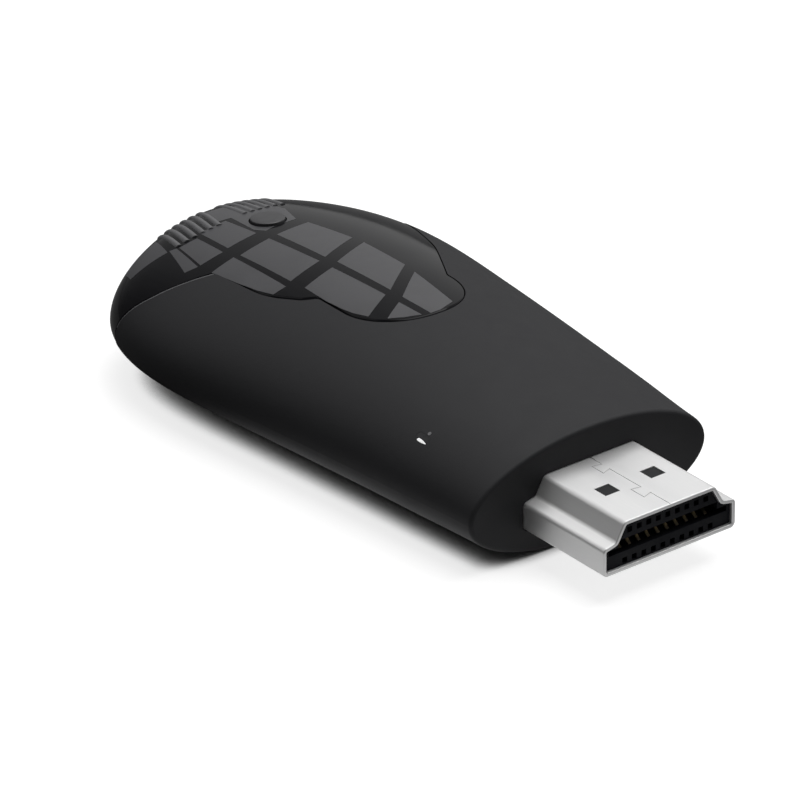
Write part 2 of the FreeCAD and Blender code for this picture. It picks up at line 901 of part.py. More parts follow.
def build():
    body = outer_body()
    cavity = form(wall).common(everywhere_behind(-wall))
    return {
        "upper_shell": upper_shell(body, cavity),
        "lower_shell": lower_shell(body, cavity),
        "gloss_cap": gloss_cap(),
        "cap_adhesive": cap_adhesive(),
        "mode_button": mode_button(),
        "switch_base": switch_base(),
        "switch_cover": switch_cover(),
        "switch_plunger": switch_plunger(),
        "switch_dome": switch_dome(),
        "switch_terminals": switch_terminals(),
        "video_plug_shell": plug_shell(),
        "video_plug_insulator": plug_insulator(),
        "video_plug_upper_contacts": contact_row(upper_contact_count, 1),
        "video_plug_lower_contacts": contact_row(lower_contact_count, -1),
        "power_socket_shell": socket_shell(),
        "power_socket_tongue": socket_tongue(),
        "power_socket_pins": socket_pins(),
        "main_board": main_board(),
        "board_screws": board_screws(),
        "processor": processor(),
        "thermal_pad": thermal_pad(),
        "heat_spreader": heat_spreader(),
        "memory_chip": standing(memory_x, 0, memory_size, board_top),
        "flash_chip": hanging(flash_x, 0, flash_size, board_bottom),
        "radio_module_board": hanging(radio_x, 0, radio_board_size, board_bottom),
        "radio_chip": hanging(radio_x, 0, radio_chip_size, radio_board_bottom),
        "radio_shield": radio_shield(),
        "antenna": antenna(),
        "crystals": crystals(),
        "inductors": inductors(),
        "regulators": regulators(),
        "protection_chips": protection_chips(),
        "capacitors": capacitors(),
        "resistors": resistors(),
        "status_led": standing(led_x, led_y, led_size, board_top),
        "light_pipe": light_pipe(),
    }


os.makedirs("parts", exist_ok=True)
for name, shape in build().items():
    shape.exportStep("parts/%s.step" % name)
    solids = shape.Solids
    print("%-28s solids %2d  valid %s  volume %8.2f mm3" % (name, len(solids), shape.isValid(), shape.Volume))
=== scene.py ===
# %% [markdown]
# # A wireless display dongle
# The object is a thumb-sized box that plugs into a television. Its housing is an oval of matte
# black plastic, a glossy black cap is let into its rear end, and a bright video plug stands in
# its dark front face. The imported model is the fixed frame: every piece here is fitted to it.

import math

import bmesh
import bpy
from mathutils import Matrix, Vector


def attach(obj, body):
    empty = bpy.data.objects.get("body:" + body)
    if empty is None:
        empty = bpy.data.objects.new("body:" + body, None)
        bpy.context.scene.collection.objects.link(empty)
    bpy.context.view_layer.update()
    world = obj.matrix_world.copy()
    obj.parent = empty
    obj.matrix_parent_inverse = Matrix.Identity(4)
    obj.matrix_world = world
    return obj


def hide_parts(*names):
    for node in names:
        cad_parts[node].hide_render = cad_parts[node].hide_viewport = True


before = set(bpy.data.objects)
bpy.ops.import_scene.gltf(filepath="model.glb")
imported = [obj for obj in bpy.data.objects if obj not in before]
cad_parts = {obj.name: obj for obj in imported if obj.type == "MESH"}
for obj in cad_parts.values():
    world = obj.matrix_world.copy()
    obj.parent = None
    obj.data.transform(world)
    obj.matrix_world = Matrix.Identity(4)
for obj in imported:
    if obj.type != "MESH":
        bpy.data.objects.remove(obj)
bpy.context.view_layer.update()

# %% [markdown]
# ## Tools for the whole lesson
# Real sizes are easiest to read in millimetres, so every shape below is built with one unit as
# one millimetre, and is scaled to metres once, when it is handed to its body. Colours are
# written as the eye knows them, in hex, and one function turns them into linear light. One
# more function adds a node to any tree, with its settings and its links.

# %% Colours and nodes
def linear(code):
    """Linear colour of an sRGB hex code."""
    parts = [int(code[i:i + 2], 16) / 255 for i in (0, 2, 4)]
    return [p / 12.92 if p <= 0.04045 else ((p + 0.055) / 1.055) ** 2.4 for p in parts] + [1.0]


def add(tree, kind, inputs=None, **settings):
    """Add a node. An input takes a plain value, a socket, or a node for its first output."""
    node = tree.nodes.new(kind)
    for name, value in settings.items():
        setattr(node, name, value)
    for key, value in (inputs or {}).items():
        if isinstance(value, bpy.types.Node):
            value = value.outputs[0]
        if isinstance(value, bpy.types.NodeSocket):
            tree.links.new(value, node.inputs[key])
        else:
            node.inputs[key].default_value = value
    return node


# %% [markdown]
# A shape starts as points and faces. A solid between two outlines serves as a cutter or a plate,
# and one modifier at a time works a shape and is settled at once into a plain mesh.

# %% Make and work a mesh
WELD, WELD_GROWN = 1e-5, 1e-4


def clean(mesh, weld, flat=None):
    """Weld close points, drop faces without area if asked, and turn all faces outwards."""
    work = bmesh.new()
    work.from_mesh(mesh)
    bmesh.ops.remove_doubles(work, verts=work.verts, dist=weld)
    if flat:
        bmesh.ops.dissolve_degenerate(work, edges=work.edges, dist=flat)
    bmesh.ops.recalc_face_normals(work, faces=work.faces)
    work.to_mesh(mesh)
    work.free()


def mesh_object(name, points, faces, edges=()):
    """An object from points in millimetres."""
    mesh = bpy.data.meshes.new(name)
    mesh.from_pydata([tuple(p) for p in points], edges, faces)
    clean(mesh, WELD)
    piece = bpy.data.objects.new(name, mesh)
    bpy.context.scene.collection.objects.link(piece)
    return piece


def between(name, lows, highs):
    """A closed solid between two outlines with the same number of points."""
    count = len(lows)
    faces = [tuple(range(count)), tuple(range(count, 2 * count))]
    faces += [(i, (i + 1) % count, count + (i + 1) % count, count + i) for i in range(count)]
    return mesh_object(name, lows + highs, faces)


def prism(name, outline, low, high, axis="z"):
    """A closed bar on an outline: upright, or lying along x."""
    ends = [[(h, p.x, p.y) if axis == "x" else (p.x, p.y, h) for p in outline] for h in (low, high)]
    return between(name, *ends)


def settle(piece):
    """Turn a piece with its modifiers into a plain mesh and take the modifiers off."""
    bpy.context.view_layer.update()
    shape = piece.evaluated_get(bpy.context.evaluated_depsgraph_get())
    mesh = bpy.data.meshes.new_from_object(shape)
    piece.modifiers.clear()
    piece.data = mesh
    return piece


def modify(piece, kind, **settings):
    """Work a piece with one modifier."""
    modifier = piece.modifiers.new(kind, kind)
    for name, value in settings.items():
        setattr(modifier, name, value)
    return settle(piece)


def carve(piece, tool, operation="DIFFERENCE"):
    """Cut, keep or join with another closed shape, which is used up."""
    modify(piece, "BOOLEAN", object=tool, operation=operation, solver="EXACT")
    bpy.data.objects.remove(tool)
    return piece


def soften(piece, width, segments=2, angle=40):
    """Round every sharp edge of a piece, as a tool or a press leaves it."""
    return modify(piece, "BEVEL", width=width, segments=segments, limit_method="ANGLE",
                  angle_limit=math.radians(angle))


def flatten_shading(piece):
    """Let large flat faces rule the shading, so that only bends and rounded edges are smooth."""
    piece.data.set_sharp_from_angle(angle=math.radians(50))
    for face in piece.data.polygons:
        face.use_smooth = True
    return modify(piece, "WEIGHTED_NORMAL", keep_sharp=True, weight=100)


# %% [markdown]
# Where the frame's solid already has the right shape, a copy of it is worked further. At the end
# each piece is scaled, finished and handed to the body that it rides on.

# %% Measure, copy and hand over
FLAT_WITHIN = math.radians(0.4)


def bounds_mm(piece):
    corners = [Vector(v.co) for v in piece.data.vertices]
    return [round(f(c[i] for c in corners), 2) for f in (min, max) for i in range(3)]


def copy_of(name, node):
    """A clean copy of a CAD piece in millimetres, with its flat faces joined up again."""
    work = bmesh.new()
    work.from_mesh(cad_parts[node].data)
    bmesh.ops.scale(work, vec=(1000, 1000, 1000), verts=work.verts)
    bmesh.ops.remove_doubles(work, verts=work.verts, dist=WELD_GROWN)
    bmesh.ops.dissolve_limit(work, angle_limit=FLAT_WITHIN, verts=work.verts, edges=work.edges)
    work.verts.index_update()
    points = [v.co.copy() for v in work.verts]
    faces = [[v.index for v in face.verts] for face in work.faces]
    work.free()
    return mesh_object(name, points, faces)


def hand_over(piece, material, body, nodes=(), smooth_angle=35):
    """Scale a piece to metres, give it its finish, and let it ride on a body for its nodes."""
    piece.data.transform(Matrix.Scale(0.001, 4))
    piece.data.materials.clear()
    piece.data.materials.append(material)
    for face in piece.data.polygons:
        face.material_index = 0
        face.use_smooth = True
    if smooth_angle:
        piece.data.set_sharp_from_angle(angle=math.radians(smooth_angle))
    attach(piece, body)
    if nodes:
        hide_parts(*nodes)
    print(piece.name, len(piece.data.polygons), "faces")


# %% [markdown]
# ## Trees of nodes
# Geometry Nodes make what follows a rule. Each tree gets one named input for each size, and the
# sizes are set on a modifier, which is then applied and taken off. A modifier's input is set by
# its socket's identifier. Each tree ends in Realize Instances and Set Material.

# %% Start a tree, lay points on a surface, close the tree and grow a piece from it
SOCKETS = {int: "NodeSocketInt", float: "NodeSocketFloat", tuple: "NodeSocketVector",
           bpy.types.Object: "NodeSocketObject"}


def start_tree(title, sizes, takes_mesh=False):
    tree = bpy.data.node_groups.new(title, "GeometryNodeTree")
    if takes_mesh:
        tree.interface.new_socket("Mesh", in_out="INPUT", socket_type="NodeSocketGeometry")
    for label, value in sizes.items():
        tree.interface.new_socket(label, in_out="INPUT", socket_type=SOCKETS[type(value)])
    tree.interface.new_socket("Mesh", in_out="OUTPUT", socket_type="NodeSocketGeometry")
    return tree, tree.nodes.new("NodeGroupInput").outputs


def laid_on(tree, geometry, surface, rise, rays):
    """Points moved to where their rays meet a surface, and on along its normal by a rise."""
    skin = add(tree, "GeometryNodeObjectInfo", {"Object": surface}).outputs["Geometry"]
    hit = add(tree, "GeometryNodeRaycast", {"Target Geometry": skin, **rays}).outputs
    lift = add(tree, "ShaderNodeVectorMath", {0: hit["Hit Normal"], "Scale": rise},
               operation="SCALE")
    spot = add(tree, "ShaderNodeVectorMath", {0: hit["Hit Position"], 1: lift})
    return add(tree, "GeometryNodeSetPosition", {"Geometry": geometry, "Position": spot})


def close_tree(tree, mesh, material):
    real = add(tree, "GeometryNodeRealizeInstances", {"Geometry": mesh})
    painted = add(tree, "GeometryNodeSetMaterial", {"Geometry": real, "Material": material})
    add(tree, "NodeGroupOutput", {0: painted})
    return tree


def grow(name, tree, sizes, start=None):
    """A plain mesh from a tree with these sizes, on an empty or a given start mesh."""
    piece = start or mesh_object(name, [], [])
    modifier = piece.modifiers.new("tree", "NODES")
    modifier.node_group = tree
    for item in tree.interface.items_tree:
        if item.in_out == "INPUT" and item.name in sizes:
            modifier[item.identifier] = sizes[item.name]
    settle(piece)
    clean(piece.data, WELD_GROWN, flat=WELD)
    return piece


# %% [markdown]
# ## Finishes
# A finish is what the real surface is and how it was made. Most moulded or pressed pieces share
# one recipe: a grain with the size of the real grain, which stirs the colour, the gloss and the
# relief a little. The recipe's sizes are real millimetres.

# %% The recipe for grained surfaces
def start_finish(name):
    """An empty material with its tree, and the place on the piece."""
    finish = bpy.data.materials.new(name)
    finish.use_nodes = True
    tree = finish.node_tree
    tree.nodes.clear()
    return finish, tree, add(tree, "ShaderNodeTexCoord").outputs["Object"]


def close_finish(tree, colour, roughness, height, relief, **plain):
    """The shader, with a height that stands out by a relief in mm, and its plain values."""
    bump = add(tree, "ShaderNodeBump", {"Height": height, "Distance": relief / 1000})
    plain = {key.replace("_", " "): value for key, value in plain.items()}
    shader = add(tree, "ShaderNodeBsdfPrincipled",
                 {"Base Color": colour, "Roughness": roughness, "Normal": bump, **plain})
    add(tree, "ShaderNodeOutputMaterial", {"Surface": shader})


def grained(name, dark, light, roughness, grain, relief, metallic=0.0, stretch=(1, 1, 1), **more):
    """Moulded, pressed, cast or brushed: grain and relief in mm, gloss as two limits."""
    finish, tree, place = start_finish(name)
    sized = add(tree, "ShaderNodeMapping", {"Vector": place, "Scale": stretch})
    fine = add(tree, "ShaderNodeTexNoise",
               {"Vector": sized, "Scale": 1000 / grain, "Detail": 3.0, "Roughness": 0.6})
    broad = add(tree, "ShaderNodeTexNoise",
                {"Vector": sized, "Scale": 1000 / grain / 14, "Detail": 2.0})
    both = add(tree, "ShaderNodeMath", {0: fine, 1: broad, 2: 0.22}, operation="MULTIPLY_ADD")
    colour = add(tree, "ShaderNodeMix", {0: both, 6: linear(dark), 7: linear(light)},
                 data_type="RGBA")
    gloss = add(tree, "ShaderNodeMapRange",
                {"Value": broad, "From Min": 0.3, "From Max": 0.7, "To Min": roughness[0],
                 "To Max": roughness[1]})
    close_finish(tree, colour.outputs[2], gloss, fine, relief, Metallic=metallic, **more)
    return finish


# %% [markdown]
# The housing is ABS, injection moulded in a spark-eroded tool. The tool leaves a fine even
# frost that scatters light, so the black looks soft and charcoal where light falls on it. The
# real frost is about 0.05 mm; it is drawn at 0.16 mm, as coarse as it needs to show at all.

# %% Matte housing plastic
spark_eroded_abs = grained("spark_eroded_black_abs", "1f1f21", "252527", (0.61, 0.65), 0.16,
                           0.006, IOR=1.52, Specular_IOR_Level=0.2)

# %% [markdown]
# The cap is black ABS from a polished tool, so it mirrors the room. Nothing moulded is quite
# flat: a slow waviness of about 6 mm bends the mirror a little, and handling leaves fine wipe
# marks that only change the gloss.

# %% Glossy cap plastic
polished_abs, tree, place = start_finish("polished_black_abs")
wave = add(tree, "ShaderNodeTexNoise", {"Vector": place, "Scale": 1000 / 6.0, "Detail": 1.0})
wiped = add(tree, "ShaderNodeMapping",
            {"Vector": place, "Scale": (1, 9, 9), "Rotation": (0, 0, 0.5)})
marks = add(tree, "ShaderNodeTexNoise",
            {"Vector": wiped, "Scale": 1000 / 5.0, "Detail": 5.0, "Roughness": 0.65})
gloss = add(tree, "ShaderNodeMapRange",
            {"Value": marks, "From Min": 0.35, "From Max": 0.75, "To Min": 0.09, "To Max": 0.16})
depth = add(tree, "ShaderNodeMix", {0: marks, 6: linear("0e0e10"), 7: linear("161618")},
            data_type="RGBA")
close_finish(tree, depth.outputs[2], gloss, wave, 0.02, IOR=1.5, Specular_IOR_Level=0.11)

# %% [markdown]
# The panes on the cap are a painted reflection of a window, laid on as a satin charcoal film a
# hundredth of a millimetre thick, with a slight mottle drawn at 0.2 mm.
# The ribs, the button and the thin edge bead are ABS too, and as satin as touching leaves them.
# The ribs and the bead are coloured paler than the housing as a painted highlight.

# %% Painted reflection film, ribs, button and lenses
# The panes' grey is a painted reflection of a window on the glossy cap.
painted_reflection_film = grained("painted_window_reflection_film", "363638", "404043", (0.3, 0.42), 0.2, 0.001,
                      IOR=1.5, Specular_IOR_Level=0.5)
# The ribs' light grey is a painted highlight on black ABS.
rib_abs_painted_highlight = grained("satin_rib_abs_painted_highlight", "4a4a4c", "5a5a5c", (0.3, 0.4), 0.2, 0.002, IOR=1.52,
                      Specular_IOR_Level=0.5)
# A pale grey ABS for the painted highlight along the recess edge, and for the small dot.
pale_abs_highlight_and_dot = grained("pale_abs_painted_highlight_and_dot", "505052", "606062", (0.3, 0.4), 0.2, 0.002,
                        IOR=1.52)
satin_button = grained("satin_moulded_button_abs", "2c2c2e", "343436", (0.34, 0.46), 0.2, 0.003,
                       IOR=1.52)
# The lens is near white and glows by itself, with no lamp behind it: a painted glow and highlight.
lens_painted_glow = grained("frosted_polycarbonate_painted_glow", "e9ecec", "fafafa", (0.4, 0.5), 0.15, 0.003,
                       IOR=1.58, Transmission_Weight=0.25, Emission_Color=linear("ffffff"),
                       Emission_Strength=0.35)
smoked_pipe = grained("smoked_polycarbonate", "1c1c1e", "242426", (0.5, 0.6), 0.15, 0.003,
                      IOR=1.58, Specular_IOR_Level=0.2)

# %% [markdown]
# The plug is satin nickel on cold-rolled steel sheet. Rolling lines along the plug, 0.12 mm
# apart, and a fine etch scatter much of the light, so the flat top looks evenly pale instead of
# mirror-like. The other metals differ in colour, gloss and the way their lines run.

# %% Metals
nickel_plate = grained("satin_nickel_on_rolled_sheet", "cfcfd0", "dbdbda", (0.38, 0.46), 0.12,
                       0.0004, metallic=0.5, stretch=(0.06, 1, 1))
gold_flash = grained("thin_gold_flash_on_bronze", "958b76", "a89e87", (0.26, 0.38), 0.1, 0.0005,
                     metallic=1.0, stretch=(0.1, 1, 1))
tinned_steel = grained("tinned_steel_sheet", "b4b6b6", "d6d7d6", (0.28, 0.42), 0.3, 0.001,
                       metallic=1.0, stretch=(0.2, 1, 1))
spring_strip = grained("bright_spring_steel_strip", "a9a9a6", "cfcfcb", (0.22, 0.34), 0.12,
                       0.0006, metallic=1.0, stretch=(0.1, 1, 1))
zinc_screw = grained("black_zinc_plated_steel", "2b2c2f", "46474b", (0.34, 0.5), 0.15, 0.001,
                     metallic=1.0)
rolled_aluminium = grained("rolled_aluminium_sheet", "c2c4c6", "dedfe0", (0.3, 0.42), 0.15,
                           0.001, metallic=1.0, stretch=(0.05, 1, 1))

# %% [markdown]
# The rest is what a look inside would show: glass-filled nylon round the contacts, black epoxy
# chips with a fine dull grain, fired ceramic, silicone, film, and the board's green mask.

# %% Plastics, ceramics and films inside
filled_nylon = grained("glass_filled_black_nylon", "0a0b0f", "111217", (0.5, 0.66), 0.12, 0.003,
                       IOR=1.53, Specular_IOR_Level=0.08)
grey_nylon = grained("glass_filled_grey_nylon", "1b1b1d", "212123", (0.5, 0.62), 0.12, 0.003,
                     IOR=1.53, Specular_IOR_Level=0.15)
chip_epoxy = grained("moulded_epoxy_chip_body", "232425", "303132", (0.55, 0.7), 0.12, 0.002,
                     IOR=1.55)
fired_ceramic = grained("fired_tan_ceramic", "a08a6c", "b9a283", (0.5, 0.65), 0.1, 0.002, IOR=1.6)
glazed_resistor = grained("glazed_thick_film_resistor", "1d1e21", "2d2e31", (0.25, 0.4), 0.15,
                          0.001, IOR=1.55)
pressed_ferrite = grained("pressed_grey_ferrite", "4b4c4e", "606163", (0.6, 0.75), 0.15, 0.004,
                          IOR=1.6)
silicone_pad = grained("soft_blue_grey_silicone", "6f7c8a", "8492a0", (0.65, 0.8), 0.4, 0.004,
                       IOR=1.42)
adhesive_film = grained("milky_adhesive_film", "b8b7ad", "cfcec6", (0.5, 0.65), 0.5, 0.002,
                        IOR=1.48)
light_body = grained("white_moulded_light_body", "e2e0d6", "f0efe8", (0.3, 0.42), 0.2, 0.001,
                     IOR=1.52)

# %% [markdown]
# A board is woven glass and epoxy under a green solder mask. The mask is thin, so copper tracks
# stand under it as lighter lines. Bricks with a dark joint draw such tracks 0.3 mm wide, and the
# weave of the glass, 0.5 mm, shows as a faint check in the relief.

# %% Green solder mask
solder_mask, tree, place = start_finish("green_solder_mask_on_glass_board")
tracks = add(tree, "ShaderNodeTexBrick",
             {"Vector": place, "Scale": 1000.0, "Mortar Size": 0.22, "Brick Width": 3.1,
              "Row Height": 0.8, "Mortar": linear("1f6a47"), "Color1": linear("0f4630"),
              "Color2": linear("124d35")})
stir = add(tree, "ShaderNodeTexNoise", {"Vector": place, "Scale": 1000 / 7.0, "Detail": 2.0})
cloth = add(tree, "ShaderNodeTexChecker", {"Vector": place, "Scale": 1000 / 0.5}).outputs["Fac"]
tint = add(tree, "ShaderNodeMix", {0: stir, 6: linear("0c3b29"), 7: tracks.outputs["Color"]},
           data_type="RGBA")
lift = add(tree, "ShaderNodeMath", {0: tracks.outputs["Fac"], 1: cloth})
close_finish(tree, tint.outputs[2], 0.34, lift, 0.008, IOR=1.53)
print(len(bpy.data.materials), "finishes")

# %% [markdown]
# Every piece of the frame gets the finish that it is really made of. The two matte shells keep
# the frame's own shape, with all their posts, hooks and openings.

# %% Finishes of the frame's pieces
FINISHES = (
    (spark_eroded_abs, "upper_shell lower_shell"), (polished_abs, "gloss_cap"),
    (adhesive_film, "cap_adhesive"), (satin_button, "mode_button"), (smoked_pipe, "light_pipe"),
    (filled_nylon, "switch_base switch_plunger video_plug_insulator power_socket_tongue"),
    (spring_strip, "switch_cover switch_dome"), (zinc_screw, "board_screws"),
    (tinned_steel, "switch_terminals radio_shield crystals"), (silicone_pad, "thermal_pad"),
    (nickel_plate, "video_plug_shell power_socket_shell"), (rolled_aluminium, "heat_spreader"),
    (gold_flash, "video_plug_upper_contacts video_plug_lower_contacts power_socket_pins"),
    (chip_epoxy, "processor memory_chip flash_chip radio_chip regulators protection_chips"),
    (solder_mask, "main_board radio_module_board"), (fired_ceramic, "antenna capacitors"),
    (pressed_ferrite, "inductors"), (glazed_resistor, "resistors"), (light_body, "status_led"),
)
finish_of = {node: finish for finish, nodes in FINISHES for node in nodes.split()}
for node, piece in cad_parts.items():
    piece.data.materials.clear()
    piece.data.materials.append(finish_of[node])
print(len(finish_of), "pieces of the frame have their finish")

# %% [markdown]
# ## The housing's form
# A moulder would call the housing a loft: an oval that widens towards the rear, crowns in the
# middle, and closes in a soft round end. Modelling it by hand would take many loops, but every
# row of the oval follows one rule, so a Geometry Nodes tree bends a flat grid into it. One
# direction of the grid runs along the housing and the other round it. The first and last row
# shrink to a point and close the ends, and the rows beside them turn the edges.

# %% Sizes of the form in mm
FORM = {
    "Length": 52.6, "Front Half Width": 12.45, "Front Half Height": 5.1, "Side Taper": 0.080,
    "Side Curve": 0.00061, "Side Round Length": 22.8, "Side Round Power": 2.64,
    "Crown Height": 7.26, "Crown At": 27.5, "Top Round Length": 5.5, "Top Round Power": 4.15,
    "Rear Flat": 0.9, "Chin Length": 10.1, "Chin Rise": 3.1, "Chin Power": 1.7,
    "Edge Radius": 0.3, "Crowding": 1.6, "Inset": 0.0, "Edge Rows": 4, "Main Rows": 84,
    "Sides": 200,
}

# %% [markdown]
# The rule is written as short formulas, each worked from left to right as on a pocket
# calculator. t is the distance behind the front face. A line that ends in clamped is cut off at
# 0 and 1.

# %% The rule as formulas
FORM_RULE = """
edge end = Edge Rows + 1
rear start = edge end + Main Rows
last = rear start + edge end
row = along * last
front share = row - 1 / Edge Rows clamped
main share = row - edge end / Main Rows clamped
rear share = row - rear start / Edge Rows clamped
front turn = front share * quarter turn
rear turn = rear share * quarter turn
front c = cos front turn
front s = sin front turn
rear c = cos rear turn
rear s = sin rear turn
crowded = 1 - main share ^ Crowding
both edges = Edge Radius * 2
main length = Length - both edges
t main = 1 - crowded * main length
t = 1 - front c + rear s * Edge Radius + t main
rear drop = 1 - rear c
inset = 1 - front s + rear drop * Edge Radius + Inset
curve part = t * t * Side Curve
full width = Side Taper * t + curve part + Front Half Width
left = Length + Rear Flat - t
side left = left / Side Round Length clamped
side power = 1 - side left ^ Side Round Power
side root = 1 / Side Round Power
half width = 1 - side power ^ side root * full width - inset
crown share = t - Crown At / Crown At
crown square = crown share * crown share
crown fall = Crown Height - Front Half Height * crown square
crown = Crown Height - crown fall
top left = left / Top Round Length clamped
top power = 1 - top left ^ Top Round Power
top root = 1 / Top Round Power
top = 1 - top power ^ top root * crown - inset
chin left = Length - t / Chin Length clamped
chin lift = 1 - chin left ^ Chin Power * Chin Rise
bottom = Front Half Height - chin lift - inset
angle = round * full turn
across = cos angle
upwards = sin angle
z up = upwards max 0 * top
z down = upwards min 0 * bottom
front open = row * 1 clamped
rear open = last - row * 1 clamped
open = front open * rear open
y = across * half width * open
z = z up + z down * open
shrink = Length - Inset / Length
x = t * shrink * -1
"""
SIGNS = {"+": "ADD", "-": "SUBTRACT", "*": "MULTIPLY", "/": "DIVIDE", "^": "POWER",
         "max": "MAXIMUM", "min": "MINIMUM", "cos": "COSINE", "sin": "SINE"}

# %% [markdown]
# The tree makes a grid one unit square, reads how far along and round each of its points lies,
# runs the rule, and moves the points. Merge by Distance then closes the seam.

# %% The tree of the form
tree, size = start_tree("housing_form", FORM)
rows = add(tree, "ShaderNodeMath", {0: size["Edge Rows"], 1: 2.0, 2: size["Main Rows"]},
           operation="MULTIPLY_ADD")
rows_in_all = add(tree, "ShaderNodeMath", {0: rows, 1: 3.0})
sides = add(tree, "ShaderNodeMath", {0: size["Sides"], 1: 1.0})
grid = add(tree, "GeometryNodeMeshGrid",
           {"Size X": 1.0, "Size Y": 1.0, "Vertices X": rows_in_all, "Vertices Y": sides})
spot = add(tree, "ShaderNodeSeparateXYZ", {0: add(tree, "GeometryNodeInputPosition")})
values = {**{label: size[label] for label in FORM},
          "along": add(tree, "ShaderNodeMath", {0: spot.outputs[0], 1: 0.5}),
          "round": add(tree, "ShaderNodeMath", {0: spot.outputs[1], 1: 0.5}),
          "quarter turn": math.pi / 2, "full turn": 2 * math.pi}
for line in FORM_RULE.strip().splitlines():
    label, formula = line.split(" = ")
    words = formula.removesuffix(" clamped").split()
    signs = [i for i, word in enumerate(words) if word in SIGNS]
    names = [" ".join(words[a + 1:b]) for a, b in zip([-1] + signs, signs + [len(words)])]
    terms = [values[name] if name in values else float(name) for name in names if name]
    done = [] if signs[0] == 0 else [terms.pop(0)]
    for at, term in zip(signs, terms):
        done = [add(tree, "ShaderNodeMath", dict(enumerate([*done, term])),
                    operation=SIGNS[words[at]])]
    values[label] = done[0]
    values[label].use_clamp = formula.endswith(" clamped")
place = add(tree, "ShaderNodeCombineXYZ", {0: values["x"], 1: values["y"], 2: values["z"]})
moved = add(tree, "GeometryNodeSetPosition", {"Geometry": grid, "Position": place})
sewn = add(tree, "GeometryNodeMergeByDistance", {"Geometry": moved, "Distance": WELD_GROWN})
form_tree = close_tree(tree, sewn, polished_abs)


def form(name, inset):
    """The housing's form, drawn in by inset."""
    return grow(name, form_tree, {**FORM, "Inset": inset})


# %% [markdown]
# ## The cap's outline
# The cap is a thin moulding that wraps the rear end, with a lobed tongue that runs forward
# along the top. Seen from above, its outline is a few straight runs with turned corners. Each
# corner is a distance ahead of the rear end, a distance to the side, and a radius. The cap has a
# little play in its recess and is seated to the right and rear, so its seam is widest on the
# left of the lobe and nearly closed on the right.

# %% Corners and the turned outline
LENGTH = FORM["Length"]
CAP_SINK = 0.05
CAP_THICKNESS = 0.6
CAP_SEAM = 0.22
RIGHT_CLOSED, REAR_CLOSED = 0.86, 0.55
PARTING = -2.4
PARTING_SEAM = 0.06
SHARPEST_CORNER = 0.4
CAP_CORNERS = (
    (-7.4, -20.0, 0.0), (5.4, -20.0, 0.0), (7.1, -15.0, 2.0), (9.3, -12.5, 6.0),
    (12.2, -7.95, 0.7), (19.0, -7.8, 8.0), (22.0, -6.25, 0.9), (23.0, -5.15, 0.8),
    (32.0, -5.15, 5.6), (31.9, 6.55, 5.6), (25.9, 6.4, 0.6), (19.2, 10.35, 14.0),
    (12.0, 13.1, 3.0), (7.1, 15.4, 2.0), (5.4, 20.0, 0.0), (-7.4, 20.0, 0.0),
)


def turned(corners, step_degrees=6.0):
    """Points along a closed outline whose corners are turned by tangent arcs."""
    points = []
    for i, (u, v, radius) in enumerate(corners):
        corner = Vector((u, v))
        if radius == 0:
            points.append(corner)
            continue
        before = (Vector(corners[i - 1][:2]) - corner).normalized()
        after = (Vector(corners[(i + 1) % len(corners)][:2]) - corner).normalized()
        half = before.angle(after) / 2
        centre = corner + (before + after).normalized() * radius / math.sin(half)
        entry = corner + before * radius / math.tan(half)
        leave = corner + after * radius / math.tan(half)
        sweep = (entry - centre).angle_signed(leave - centre)
        steps = max(2, round(abs(math.degrees(sweep)) / step_degrees))
        for k in range(steps + 1):
            arm = (entry - centre).copy()
            arm.rotate(Matrix.Rotation(-sweep * k / steps, 2))
            points.append(centre + arm)
    return points


def drawn_in(points, amount):
    """The same closed outline, each point moved inwards by an amount."""
    area = sum(a.cross(b) for a, b in zip(points, points[1:] + points[:1]))
    side = math.copysign(1.0, area)
    moved = []
    for i, point in enumerate(points):
        ahead = (points[(i + 1) % len(points)] - point).normalized()
        behind = (point - points[i - 1]).normalized()
        normal = (ahead.orthogonal() + behind.orthogonal()).normalized() * side
        reach = max(normal.dot(ahead.orthogonal()) * side, SHARPEST_CORNER)
        moved.append(point + normal * amount / reach)
    return moved


def eased(value, start, end):
    """0 before start, 1 after end, with a soft change between."""
    share = min(max((value - start) / (end - start), 0.0), 1.0)
    return share * share * (3 - 2 * share)


def to_the_right(place):
    """0 on the left and in the middle of the tongue, 1 on its right."""
    return eased(place.y, 1.0, 6.0)


def closed_share(place):
    """How far the seam is closed: most on the right, and about half behind the lobe."""
    return max(RIGHT_CLOSED * to_the_right(place), REAR_CLOSED * eased(-place.x, 32.5, 34.5))


recess_outline = [Vector((p.x - LENGTH, p.y)) for p in turned(CAP_CORNERS)]
cap_outline = [inner.lerp(outer, closed_share(outer))
               for inner, outer in zip(drawn_in(recess_outline, CAP_SEAM), recess_outline)]
print("cap outline of", len(cap_outline), "points")

# %% [markdown]
# ## The glossy cap
# The cap is the form drawn in by a hair, hollowed by the same form drawn in by its thickness,
# and kept only inside the outline. Booleans give exact walls here, and since the grid under them
# is fine, the mirror finish stays smooth right up to the cuts.

# %% Cut the cap from its form
WELL_ABOVE = 20.0
cap_surface = form("cap_surface", CAP_SINK)
gloss_cap = form("gloss_cap_skin", CAP_SINK)
carve(gloss_cap, form("cap_inside", CAP_SINK + CAP_THICKNESS))
carve(gloss_cap, prism("cap_keeper", cap_outline, PARTING + PARTING_SEAM, WELL_ABOVE), "INTERSECT")
print("cap", bounds_mm(gloss_cap))

# %% [markdown]
# The real cap's rim is rounded, which draws the dark line round the tongue. On the right the
# photograph shows hardly any line, so the rounding fades there to a third. A cutter with a
# hollow quarter-round section is swept along the rim. Each of its places is found by dropping
# a plumb line on the form: from above on the tongue, and from below under the widest line.

# %% Round the cap's rim
RIM_RADIUS = 0.36
RIM_SPACING = 0.35
RIM_ENDS_AT = -50.0
FAR_RIM = 0.3
CUTTER_ABOVE, CUTTER_OUTSIDE = 0.4, 0.5
PLUMB_HEIGHT = 30
PAST_PARTING = 0.4
PLACES_DOWN = 8


